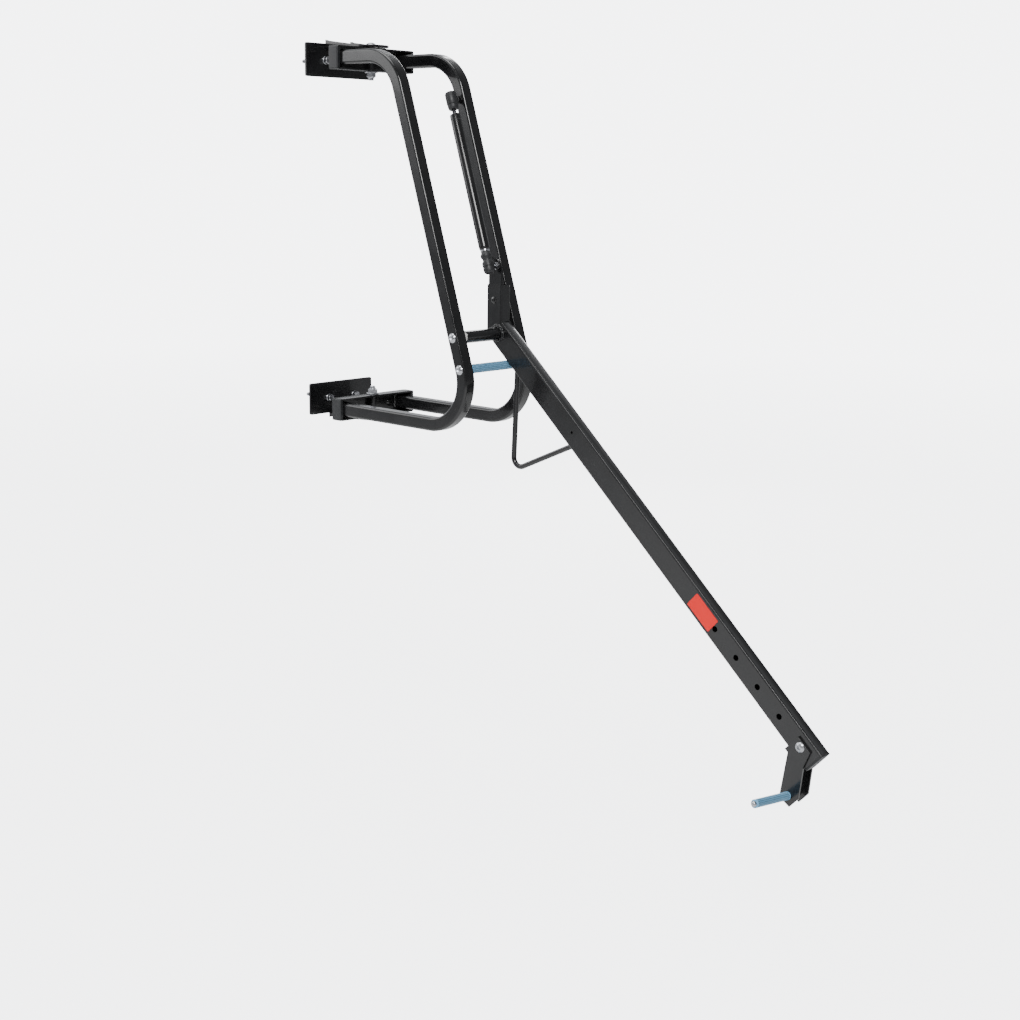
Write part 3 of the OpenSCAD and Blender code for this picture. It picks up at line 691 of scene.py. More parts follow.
    def finish(
        self,
        name: str,
        paint: Paintbox,
        slot: Slot,
        body: Body,
        replaces: Sequence[str] = (),
        crease: float = 34.0,
        even: bool = True,
    ) -> bpy.types.Object:
        """Makes the object, dresses it and ties it to its body.

        Args:
            name: The piece's name.
            paint: The materials.
            slot: The slot that its finish comes from.
            body: The body that it rides on.
            replaces: CAD nodes that it stands for.
            crease: Edges sharper than this, in degrees, stay sharp.
            even: Whether flat faces keep one even shade beside their rounded edges.

        Returns:
            The finished object.
        """
        bmesh.ops.scale(self.bm, vec=(MM, MM, MM), verts=self.bm.verts)
        mesh = bpy.data.meshes.new(name)
        self.bm.to_mesh(mesh)
        self.bm.free()
        mesh.shade_smooth()
        mesh.set_sharp_from_angle(angle=math.radians(crease))
        piece = bpy.data.objects.new(name, mesh)
        bpy.context.scene.collection.objects.link(piece)
        if even:
            normals = piece.modifiers.new("even_faces", "WEIGHTED_NORMAL")
            normals.keep_sharp = True
        mesh.materials.append(paint.by_slot[slot])
        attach(piece, body.value)
        if replaces:
            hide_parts(*replaces)
        log.info("%s: %d faces on %s", name, len(mesh.polygons), body.value)
        return piece


def joint(name: str) -> dict:
    """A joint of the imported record, by name."""
    return next(j for j in frame["joints"] if j["name"] == name)


def in_mm(point: Sequence[float]) -> Vector:
    """A point of the record, in millimetres."""
    return Vector(point) * 1000


def box_mm(box: Sequence[Vector]) -> tuple[Vector, Vector]:
    """The low and high corners of a CAD node's box, in millimetres."""
    low, high = box
    return low * 1000, high * 1000


def middle(node: str) -> Vector:
    """The middle of a CAD node's box, in millimetres."""
    low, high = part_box(node)
    return (low + high) * 500


def mount(name: str) -> dict:
    """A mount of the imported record, by name."""
    return next(m for m in frame["record"]["mounts"] if m["name"] == name)


# ---------------------------------------------------------------- fasteners


@dataclass
class Fasteners:
    """Screw heads, nuts and washers, each turned from a profile.

    Attributes:
        thread_pitch: Pitch of a visible thread.
        chamfer: Height that a nut's chamfer takes.
    """

    thread_pitch: float = 1.25
    chamfer: float = 0.9

    def dome(
        self, shape: Shaper, origin: Sequence[float], axis: Vector, radius: float, height: float, key: float
    ) -> None:
        """A low domed head with a hexagon socket.

        Args:
            shape: The piece being shaped.
            origin: Middle of the head's seat.
            axis: The way the head looks.
            radius: The head's radius.
            height: The head's height.
            key: Width of the socket across its flats.
        """
        sphere = (radius * radius + height * height) / (2 * height)
        inner = key / 2 / math.cos(math.radians(30)) + 0.35
        rim = 0.35
        profile = [(0.0, 0.0), (radius, 0.0), (radius, rim)]
        for step in range(1, 9):
            r = radius - (radius - inner) * step / 8
            profile.append((r, math.sqrt(sphere * sphere - r * r) - (sphere - height) + rim * r / radius))
        top = profile[-1][1]
        profile += [(inner - 0.3, top - 0.12)]
        before = set(shape.bm.verts)
        shape.turn(profile, (0, 0, 0), Z_AXIS, steps=48)
        verts = shape.fresh(before)
        lip = unique(e for v in verts for e in v.link_edges if e.is_boundary)
        for vert in unique(v for e in lip for v in e.verts):
            angle = math.atan2(vert.co.y, vert.co.x)
            fold = (angle + math.pi / 6) % (math.pi / 3) - math.pi / 6
            reach = key / 2 / math.cos(fold)
            vert.co.x, vert.co.y = reach * math.cos(angle), reach * math.sin(angle)
        made = bmesh.ops.extrude_edge_only(shape.bm, edges=lip)["geom"]
        low = [g for g in made if isinstance(g, bmesh.types.BMVert)]
        bmesh.ops.translate(shape.bm, vec=(0, 0, -height * 0.55), verts=low)
        bmesh.ops.contextual_create(shape.bm, geom=[g for g in made if isinstance(g, bmesh.types.BMEdge)])
        shape.settle(before, origin, axis)

    def nut(
        self,
        shape: Shaper,
        origin: Sequence[float],
        axis: Vector,
        flats: float,
        height: float,
        bore: float,
        collar: float = 0.0,
    ) -> None:
        """A hexagon nut, with a round collar on top where it is a locking one.

        Args:
            shape: The piece being shaped.
            origin: Middle of the nut's seat.
            axis: The way the nut's outer end looks.
            flats: Width across the flats.
            height: The nut's whole height.
            bore: The thread's radius.
            collar: Height of the locking collar.
        """
        corner = flats / 2 / math.cos(math.radians(30))
        top = height - collar
        ease = self.chamfer
        profile = [
            (bore, 0.0), (flats / 2 - 0.3, 0.0), (corner + 0.1, ease * 0.8), (corner + 0.1, top - ease),
            (flats / 2 - 0.3, top),
        ]
        if collar:
            profile += [(flats / 2 - 1.1, top), (flats / 2 - 1.4, height - 0.5), (flats / 2 - 2.2, height)]
        profile += [(bore, profile[-1][1])]
        shape.hexagon(flats, profile, origin, axis, ring=True)

    def hex_head(
        self, shape: Shaper, origin: Sequence[float], axis: Vector, flats: float, height: float
    ) -> None:
        """A hexagon screw head with a turned face, chamfered on its outer side."""
        corner = flats / 2 / math.cos(math.radians(30))
        profile = [
            (0.0, 0.0), (flats / 2 - 0.2, 0.0), (flats / 2 - 0.1, 0.25), (corner + 0.1, 0.3),
            (corner + 0.1, height - self.chamfer), (flats / 2 - 0.4, height), (flats / 2 - 2.0, height),
            (flats / 2 - 2.4, height - 0.35), (0.0, height - 0.45),
        ]
        shape.hexagon(flats, profile, origin, axis)

    def washer(
        self, shape: Shaper, origin: Sequence[float], axis: Vector, radius: float, bore: float, height: float
    ) -> None:
        """A flat washer with softened rims."""
        soft = min(0.3, height / 3)
        profile = [
            (bore, 0.0), (radius - soft, 0.0), (radius, soft), (radius, height - soft),
            (radius - soft, height), (bore, height),
        ]
        shape.turn(profile, origin, axis, ring=True)

    def thread(
        self, shape: Shaper, origin: Sequence[float], axis: Vector, radius: float, length: float
    ) -> None:
        """A threaded shank with a pointed end and a core closed inside it.

        Args:
            shape: The piece being shaped.
            origin: Where the thread starts.
            axis: The way it runs.
            radius: Outside radius of the thread.
            length: Length of the shank.
        """
        depth = 0.55 * self.thread_pitch
        core = radius - depth
        tip = 1.5
        shape.turn(
            [(0.0, 0.0), (core, 0.0), (core, length - tip), (core * 0.5, length), (0.0, length)],
            origin, axis, steps=24,
        )
        before = set(shape.bm.verts)
        half = self.thread_pitch * 0.42
        points = [
            bmesh.ops.create_vert(shape.bm, co=(r, 0, h))["vert"][0]
            for r, h in ((core - 0.1, -half), (radius, -0.08), (radius, 0.08), (core - 0.1, half))
        ]
        edges = [shape.bm.edges.new(pair) for pair in zip(points, points[1:])]
        turns = max(1, int((length - tip - 2 * half) / self.thread_pitch))
        steps = 20
        bmesh.ops.spin(
            shape.bm,
            geom=points + edges,
            cent=(0, 0, 0),
            axis=Z_AXIS,
            dvec=(0, 0, self.thread_pitch / steps),
            angle=2 * math.pi * turns,
            steps=steps * turns,
            use_merge=False,
            use_duplicate=False,
        )
        bmesh.ops.translate(shape.bm, vec=(0, 0, half), verts=shape.fresh(before))
        shape.settle(before, origin, axis)


# ---------------------------------------------------------------- welds


@dataclass
class WeldShop:
    """Weld beads, each a run of overlapping drops fused into one skin.

    Attributes:
        paint: The materials.
        grain: Size of the skin's mesh, in millimetres.
        seed: Seed of the uneven drops.
    """

    paint: Paintbox
    grain: float = 0.36
    seed: int = 7

    def bead(self, name: str, body: Body, runs: Sequence[tuple]) -> bpy.types.Object:
        """Lays one or more runs of weld as one piece.

        Args:
            name: The piece's name.
            body: The body that it rides on.
            runs: Each run's points and its radius.

        Returns:
            The finished piece.
        """
        rng = random.Random(self.seed + len(name))
        shape = Shaper()
        for points, radius in runs:
            for spot in self._drops([Vector(p) for p in points], radius):
                size = radius * rng.uniform(0.72, 1.22)
                jitter = Vector([rng.uniform(-0.3, 0.3) * radius for _ in range(3)])
                bmesh.ops.create_icosphere(
                    shape.bm, subdivisions=2, radius=size, matrix=Matrix.Translation(spot + jitter)
                )
        bmesh.ops.scale(shape.bm, vec=(MM, MM, MM), verts=shape.bm.verts)
        rough = bpy.data.meshes.new(name + "_drops")
        shape.bm.to_mesh(rough)
        shape.bm.free()
        drops = bpy.data.objects.new(name + "_drops", rough)
        bpy.context.scene.collection.objects.link(drops)
        skin = drops.modifiers.new("fuse", "REMESH")
        skin.mode = "VOXEL"
        skin.voxel_size = self.grain * MM
        soften = drops.modifiers.new("soften", "SMOOTH")
        soften.factor = 0.5
        soften.iterations = 1
        evaluated = drops.evaluated_get(bpy.context.evaluated_depsgraph_get())
        mesh = bpy.data.meshes.new_from_object(evaluated)
        bpy.data.objects.remove(drops)
        mesh.name = name
        mesh.shade_smooth()
        mesh.materials.clear()
        mesh.materials.append(self.paint.by_slot[Slot.COAT])
        piece = bpy.data.objects.new(name, mesh)
        bpy.context.scene.collection.objects.link(piece)
        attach(piece, body.value)
        log.info("%s: %d faces of weld", name, len(mesh.polygons))
        return piece

    @staticmethod
    def _drops(points: list[Vector], radius: float) -> list[Vector]:
        """Evenly spaced places along a line of points, a little over a radius apart."""
        spots = []
        for start, end in zip(points, points[1:]):
            count = max(1, round((end - start).length / (radius * 1.15)))
            spots += [start.lerp(end, i / count) for i in range(count)]
        return spots + [points[-1]]


# ---------------------------------------------------------------- wall side


@dataclass
class WallMount:
    """The two brackets, their wall screws and the swivel stacks.

    Attributes:
        paint: The materials.
        tools: Makes the fasteners.
        plate_t: Thickness of a wall plate.
        sheet_t: Thickness of a tongue and its flanges.
        washer_t: Thickness of the washers.
        edge: Rounding of the sheet's edges.
        plate_h: Height of a wall plate.
        tongue_r: Radius of a tongue's round end.
        plate_corner: Corner radius of a wall plate.
        screw_r: Radius of the wall screws.
        screw_len: How far they reach behind the plates.
        hex_flats: Their heads' size across flats.
        screw_washer_r: Outside radius of their washers.
        head_h: Height of their heads.
    """

    paint: Paintbox
    tools: Fasteners
    plate_t: float = 4.0
    sheet_t: float = 3.0
    washer_t: float = 2.0
    edge: float = 0.45
    plate_h: float = 50.0
    tongue_r: float = 27.0
    plate_corner: float = 3.0
    screw_r: float = 3.0
    screw_len: float = 50.0
    hex_flats: float = 10.0
    screw_washer_r: float = 6.0
    head_h: float = 5.5

    def build(self) -> None:
        """Makes every piece of the wall side."""
        self.bracket("upper")
        self.bracket("lower")
        self.wall_screws()
        self.swivels()

    def bracket(self, which: str) -> None:
        """One bracket: plate, round-ended tongue and two sloping flanges.

        Args:
            which: "upper" or "lower".
        """
        low, high = box_mm(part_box(which + "_wall_bracket"))
        swivel = in_mm(joint("frame_swivel")["pos_m"])
        out = 1 if which == "upper" else -1
        far_z = high.z if out > 0 else low.z
        near_plate = (low.z, low.z + self.plate_h) if out > 0 else (high.z - self.plate_h, high.z)
        slip_low, slip_high = box_mm(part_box("slip_washers"))
        tongue_z = slip_high.z if out > 0 else slip_low.z
        shape = Shaper()
        verts = shape.box((low.x, -self.plate_t, near_plate[0]), (high.x, 0, near_plate[1]))
        shape.round_edges(verts, self.plate_corner, 5, along=Y_AXIS)
        outline = [Vector((self.tongue_r, -self.plate_t + 0.2, tongue_z))]
        outline += [
            Vector((self.tongue_r * math.cos(a), swivel.y + self.tongue_r * math.sin(a), tongue_z))
            for a in (-math.pi * i / 32 for i in range(33))
        ]
        outline.append(Vector((-self.tongue_r, -self.plate_t + 0.2, tongue_z)))
        shape.plate(outline, Vector((0, 0, out * self.sheet_t)))
        top = tongue_z + out * self.sheet_t
        for side in (-1, 1):
            x = side * (self.tongue_r - 0.08)
            ends = [
                (-self.plate_t + 0.2, top - out * 0.4),
                (swivel.y + 4, top - out * 0.4),
                (swivel.y + 4, top + out * 0.6),
                (-self.plate_t - 6, far_z - out * 1.4),
                (-self.plate_t - 3.4, far_z - out * 0.4),
                (-self.plate_t + 0.2, far_z),
            ]
            corners = [Vector((x, y, z)) for y, z in ends]
            shape.plate(corners, Vector((-side * self.sheet_t, 0, 0)))
        shape.round_edges(list(shape.bm.verts), self.edge, 2)
        shape.finish(
            which + "_bracket", self.paint, Slot.COAT, Body.WALL, [which + "_wall_bracket"]
        )

    def wall_screws(self) -> None:
        """Four hexagon screws with washers; the thread shows behind the plates."""
        screws, rings = Shaper(), Shaper()
        spots = self._screw_spots()
        out = -Y_AXIS
        for x, z in spots:
            seat = (x, -self.plate_t, z)
            self.tools.washer(rings, seat, out, self.screw_washer_r, self.screw_r + 0.3, self.washer_t)
            head = (x, -self.plate_t - self.washer_t, z)
            self.tools.hex_head(screws, head, out, self.hex_flats, self.head_h)
            shank_r, shank_len = self.screw_r + 0.2, self.plate_t + 2
            screws.turn(
                [(0, 0), (shank_r, 0), (shank_r, shank_len), (0, shank_len)], (x, 0, z), out, steps=32
            )
            self.tools.thread(screws, (x, 0, z), Y_AXIS, self.screw_r, self.screw_len)
        screws.finish("wall_screw_set", self.paint, Slot.ZINC, Body.WALL, ["wall_screws"])
        rings.finish("wall_washer_set", self.paint, Slot.ZINC, Body.WALL, ["wall_washers"])

    def _screw_spots(self) -> list[tuple[float, float]]:
        """Sideways place and height of each wall screw, from the record's mount."""
        dims = mount("wall_screws")["dims"]
        half_x, half_z = dims["spacing_x_mm"] / 2, dims["spacing_y_mm"] / 2
        return [(sx * half_x, sz * half_z) for sx in (-1, 1) for sz in (-1, 1)]

    def swivels(self) -> None:
        """Bolt, lock nut and washers of each swivel."""
        bolts, nuts, rings, slips = Shaper(), Shaper(), Shaper(), Shaper()
        y = in_mm(joint("frame_swivel")["pos_m"]).y
        slip_low, slip_high = box_mm(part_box("slip_washers"))
        for which in ("upper", "lower"):
            up = which == "upper"
            away = Z_AXIS if up else -Z_AXIS
            sign = 1 if up else -1
            channel_low, channel_high = box_mm(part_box(which + "_cross_channel"))
            face = channel_low.z if up else channel_high.z
            slip_out = slip_high.z if up else slip_low.z
            head_seat = slip_out + sign * self.sheet_t
            self.tools.dome(bolts, (0, y, head_seat), away, 9.0, 4.5, 5.0)
            nut_seat = face - sign * self.washer_t
            self.tools.nut(nuts, (0, y, nut_seat), -away, 13.0, 8.0, 4.0, collar=1.8)
            self.tools.washer(rings, (0, y, face - sign * 0.1), -away, 10.0, 4.0, self.washer_t - 0.1)
            self.tools.washer(slips, (0, y, slip_out), -away, 12.0, 4.0, 0.9)
            end = nut_seat - sign * 11.0
            reach = abs(head_seat - end)
            bolts.turn(
                [(0, 0), (3.3, 0), (3.95, 0.7), (3.95, reach), (0, reach)], (0, y, end), away, steps=40
            )
        bolts.finish("swivel_bolt_set", self.paint, Slot.ZINC, Body.WALL, ["swivel_bolts"])
        nuts.finish("swivel_lock_nuts", self.paint, Slot.ZINC, Body.WALL, ["swivel_nuts"])
        rings.finish("swivel_nut_washers", self.paint, Slot.ZINC, Body.WALL, ["swivel_washers"])
        slips.finish("swivel_slip_washers", self.paint, Slot.NYLON, Body.WALL, ["slip_washers"])


# ---------------------------------------------------------------- swing frame


@dataclass
class SwingFrame:
    """The bent side tubes, cross channels, caps, stop bar and their fasteners.

    Attributes:
        paint: The materials.
        tools: Makes the fasteners.
        welds: Lays the weld beads.
        tube: Outside width of the square tube.
        corner: Its outside corner radius.
        bend: Bend radius at the tube's middle line.
        slope: Slope of the leg from the vertical, in degrees.
        leg_reach: Outward reach of the leg at height 0.
        web_face: Distance from the wall to the face that the tubes butt against.
        half_width: Sideways distance from the middle to a tube's middle line.
        bend_steps: Faces round the upper bend.
    """

    paint: Paintbox
    tools: Fasteners
    welds: WeldShop
    tube: float = 20.0
    corner: float = 3.5
    bend: float = 65.0
    slope: float = 18.2
    leg_reach: float = 280.5
    web_face: float = 72.5
    half_width: float = 62.5
    bend_steps: int = 30

    def build(self) -> None:
        """Makes every piece of the frame that swings."""
        for side, name in ((-1, "left"), (1, "right")):
            self.side_tube(side, name)
        for which in ("upper", "lower"):
            self.channel(which)
        self.end_caps()
        self.channel_screws()
        self.cross_bars()
        self.upper_stud()
        self.tube_welds()

    def _heights(self) -> tuple[float, float]:
        """Heights of the upper and lower arm's middle lines."""
        low, high = box_mm(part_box("left_side_tube"))
        return high.z - self.tube / 2, low.z + self.tube / 2

    def _reach(self, z: float) -> float:
        """Outward reach of the leg's middle line at a height."""
        return self.leg_reach - math.tan(math.radians(self.slope)) * z

    def side_tube(self, side: int, name: str) -> None:
        """One side tube, drawn along its two arms, two bends and sloping leg.

        Args:
            side: -1 for the left tube, 1 for the right.
            name: The tube's name.
        """
        top, low = self._heights()
        top_turn, low_turn = 90 - self.slope, 90 + self.slope
        top_tangent = self.bend * math.tan(math.radians(top_turn / 2))
        low_tangent = self.bend * math.tan(math.radians(low_turn / 2))
        top_u, low_u = self._reach(top) - top_tangent, self._reach(low) - low_tangent
        leg = (top - low) / math.cos(math.radians(self.slope)) - top_tangent - low_tangent
        lean = math.radians(self.slope)
        x = side * self.half_width
        shape = Shaper()
        edges = shape.ring_edges(self.tube, self.tube, self.corner)
        start = Matrix.Translation((x, -self.web_face, top))
        shape.sweep(edges, start, [
            ("straight", Vector((0, self.web_face - top_u, 0))),
            ("bend", (x, -top_u, top - self.bend), X_AXIS, top_turn, self.bend_steps),
            ("straight", Vector((0, -math.sin(lean), -math.cos(lean))) * leg),
            ("bend", (x, -low_u, low + self.bend), X_AXIS, low_turn, self.bend_steps + 8),
            ("straight", Vector((0, low_u - self.web_face, 0))),
        ])
        shape.finish(
            name + "_bent_tube", self.paint, Slot.COAT, Body.FRAME, [name + "_side_tube"]
        )

    def channel(self, which: str) -> None:
        """One cross channel, with the folds of its sheet rounded.

        Args:
            which: "upper" or "lower".
        """
        shape = Shaper()
        verts = shape.take_cad(which + "_cross_channel")
        shape.round_edges(verts, 1.6, 3, along=X_AXIS)
        shape.finish(
            which + "_channel", self.paint, Slot.COAT, Body.FRAME, [which + "_cross_channel"]
        )

    def end_caps(self) -> None:
        """Moulded caps with softened edges, each with a short plug into its channel."""
        low, high = box_mm(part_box("channel_end_caps"))
        shape = Shaper()
        for which in ("upper", "lower"):
            box_low, box_high = box_mm(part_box(which + "_cross_channel"))
            for side, face, end in ((-1, box_low.x, low.x), (1, box_high.x, high.x)):
                x0, x1 = sorted((face, end))
                verts = shape.box((x0, box_low.y, box_low.z), (x1, box_high.y, box_high.z))
                shape.round_edges(verts, 2.4, 4)
                inner_x0, inner_x1 = sorted((face, face - side * 1.6))
                shape.box(
                    (inner_x0, box_low.y + 0.3, box_low.z + 2.6),
                    (inner_x1, box_high.y - 2.6, box_high.z - 2.6),
                )
        shape.finish(
            "channel_caps", self.paint, Slot.PLASTIC, Body.FRAME, ["channel_end_caps"]
        )

    def channel_screws(self) -> None:
        """Domed screws through the lower channel's back, with nuts behind."""
        channel = middle("lower_cross_channel")
        back = box_mm(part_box("lower_cross_channel"))[1].y
        head_r = 6.0
        x = box_mm(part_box("channel_screws"))[1].x - head_r
        screws, nuts = Shaper(), Shaper()
        for side in (-1, 1):
            self.tools.dome(screws, (side * x, -self.web_face, channel.z), -Y_AXIS, head_r, 3.2, 4.0)
            screws.turn(
                [(0, 0), (2.95, 0), (2.95, 9.0), (2.4, 9.6), (0, 9.6)],
                (side * x, -self.web_face, channel.z), Y_AXIS, steps=32,
            )
            self.tools.nut(nuts, (side * x, back, channel.z), Y_AXIS, 10.0, 5.0, 3.0)
        screws.finish("channel_dome_screws", self.paint, Slot.COAT, Body.FRAME, ["channel_screws"])
        nuts.finish("channel_back_nuts", self.paint, Slot.ZINC, Body.FRAME, ["channel_screw_nuts"])

    def cross_bars(self) -> None:
        """The stop bar's knurled sleeve and the round screws at both cross bars."""
        outer = self.half_width + self.tube / 2
        for node, name in (("pivot_screws", "pivot_dome_screws"), ("stop_bar_screws", "stop_dome_screws")):
            centre = middle(node)
            shape = Shaper()
            for side in (-1, 1):
                away = X_AXIS * side
                self.tools.dome(shape, (side * outer, centre.y, centre.z), away, 7.0, 3.6, 5.0)
                shape.turn(
                    [(0, 0), (3.0, 0), (3.0, 36.0), (0, 36.0)],
                    (side * outer, centre.y, centre.z), -away, steps=24,
                )
            shape.finish(name, self.paint, Slot.ZINC, Body.FRAME, [node])
        low, high = box_mm(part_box("stop_bar_sleeve"))
        centre = (low + high) / 2
        knurled_sleeve(
            "stop_sleeve", self.paint, Body.FRAME, "stop_bar_sleeve",
            Vector((low.x, centre.y, centre.z)), X_AXIS, high.x - low.x, (high.z - low.z) / 2,
        )

    def upper_stud(self) -> None:
        """Ball stud of the spring's upper end and the nut inside the tube."""
        ball = in_mm(joint("spring_swing")["pos_m"])
        face = self.half_width - self.tube / 2
        length = face - ball.x
        shape = Shaper()
        shape.turn(ball_profile(4.5, 2.6, length - 3.0), ball, X_AXIS, steps=40)
        self.tools.nut(shape, (face - 3.0, ball.y, ball.z), X_AXIS, 11.0, 3.0, 2.6)
        shape.turn([(0, 0), (3, 0), (3, 8.5), (0, 8.5)], (face, ball.y, ball.z), X_AXIS, steps=24)
        shape.finish("upper_stud", self.paint, Slot.COAT, Body.FRAME, ["upper_ball_stud"])

    def tube_welds(self) -> None:
        """Beads where each tube end meets its channel."""
        top, low = self._heights()
        y = -self.web_face - 0.6
        half = self.tube / 2
        for which, z in (("upper", top), ("lower", low)):
            runs = []
            for side in (-1, 1):
                inner = side * (self.half_width - half - 0.4)
                outer = side * (self.half_width + half - 2)
                runs.append(([(inner, y, z - half + 1), (inner, y, z + half - 1)], 2.0))
                for edge in (-1, 1):
                    height = z + edge * (half + 0.4)
                    runs.append(([(inner + side * 2, y, height), (outer, y, height)], 1.9))
            self.welds.bead(f"{which}_tube_welds", Body.FRAME, runs)


def ball_profile(ball: float, neck: float, length: float) -> list[tuple[float, float]]:
    """Profile of a ball with a neck, the ball's middle at height 0.

    Args:
        ball: The ball's radius.
        neck: The neck's radius.
        length: Distance from the ball's middle to the neck's end.

    Returns:
        The profile's points.
    """
    start = math.asin(neck / ball)
    arc = [
        (ball * math.sin(a), -ball * math.cos(a))
        for a in ((math.pi - start) * i / 14 for i in range(15))
    ]
    return [*arc, (neck, length), (0.0, length)]


def knurled_sleeve(
    name: str,
    paint: Paintbox,
    body: Body,
    node: str,
    start: Vector,
    axis: Vector,
    length: float,
    radius: float,
    around: int = 16,
    depth: float = 0.9,
) -> bpy.types.Object:
    """A push-on sleeve with a knurl of small pyramids and plain ends.

    Args:
        name: The piece's name.
        paint: The materials.
        body: The body that it rides on.
        node: The CAD node that it stands for.
        start: Middle of one end.
        axis: The way it runs.
        length: Its length.
        radius: Its outside radius.
        around: Pyramids round the sleeve.
        depth: Depth of the knurl.

    Returns:
        The finished piece.
    """
    shape = Shaper()
    valley = radius - depth
    pitch = 2 * math.pi * radius / around
    band = 1.2  # plain end of the sleeve
    rows = max(4, round((length - 2 * band) / pitch))
    pitch = (length - 2 * band) / rows
    bm = shape.bm
    ring = bmesh.ops.create_circle(
        bm, cap_ends=False, segments=around, radius=valley, matrix=Matrix.Translation((0, 0, band))
    )["verts"]
    edges = unique(e for v in ring for e in v.link_edges)
    first = edges
    knurl: list = []
    for row in range(rows):
        made = bmesh.ops.extrude_edge_only(bm, edges=edges)["geom"]
        moved = [g for g in made if isinstance(g, bmesh.types.BMVert)]
        bmesh.ops.translate(bm, vec=(0, 0, pitch), verts=moved)
        twist = math.pi / around * (1 if row % 2 else -1)
        bmesh.ops.rotate(bm, verts=moved, cent=(0, 0, 0), matrix=Matrix.Rotation(twist, 3, "Z"))
        edges = [g for g in made if isinstance(g, bmesh.types.BMEdge)]
        knurl += [g for g in made if isinstance(g, bmesh.types.BMFace)]
    # The relief values place painted shade: 0 in the knurl's grooves, 1 on the pyramid tops, 0.8 on the plain
    # ends.
    relief = bm.verts.layers.float.new("relief")
    bmesh.ops.recalc_face_normals(bm, faces=knurl)
    rise = radius - valley * math.cos(math.pi / around)
    tops = bmesh.ops.poke(bm, faces=knurl, offset=rise, center_mode="MEAN")["verts"]
    for vert in tops:
        vert[relief] = 1.0
    for loop, lift in ((first, -band), (edges, band)):
        made = bmesh.ops.extrude_edge_only(bm, edges=loop)["geom"]
        moved = [g for g in made if isinstance(g, bmesh.types.BMVert)]
        grow = (radius - 0.15) / valley
        bmesh.ops.scale(bm, vec=(grow, grow, 1), verts=moved)
        outer = [g for g in made if isinstance(g, bmesh.types.BMEdge)]
        made = bmesh.ops.extrude_edge_only(bm, edges=outer)["geom"]
        moved += [g for g in made if isinstance(g, bmesh.types.BMVert)]
        ends = [g for g in made if isinstance(g, bmesh.types.BMVert)]
        bmesh.ops.translate(bm, vec=(0, 0, lift), verts=ends)
        bmesh.ops.contextual_create(bm, geom=[g for g in made if isinstance(g, bmesh.types.BMEdge)])
        for vert in moved:
            vert[relief] = 0.8
    shape.settle(set(), start, axis)
    return shape.finish(name, paint, Slot.SLEEVE, body, [node], crease=60, even=False)


# ---------------------------------------------------------------- lift arm


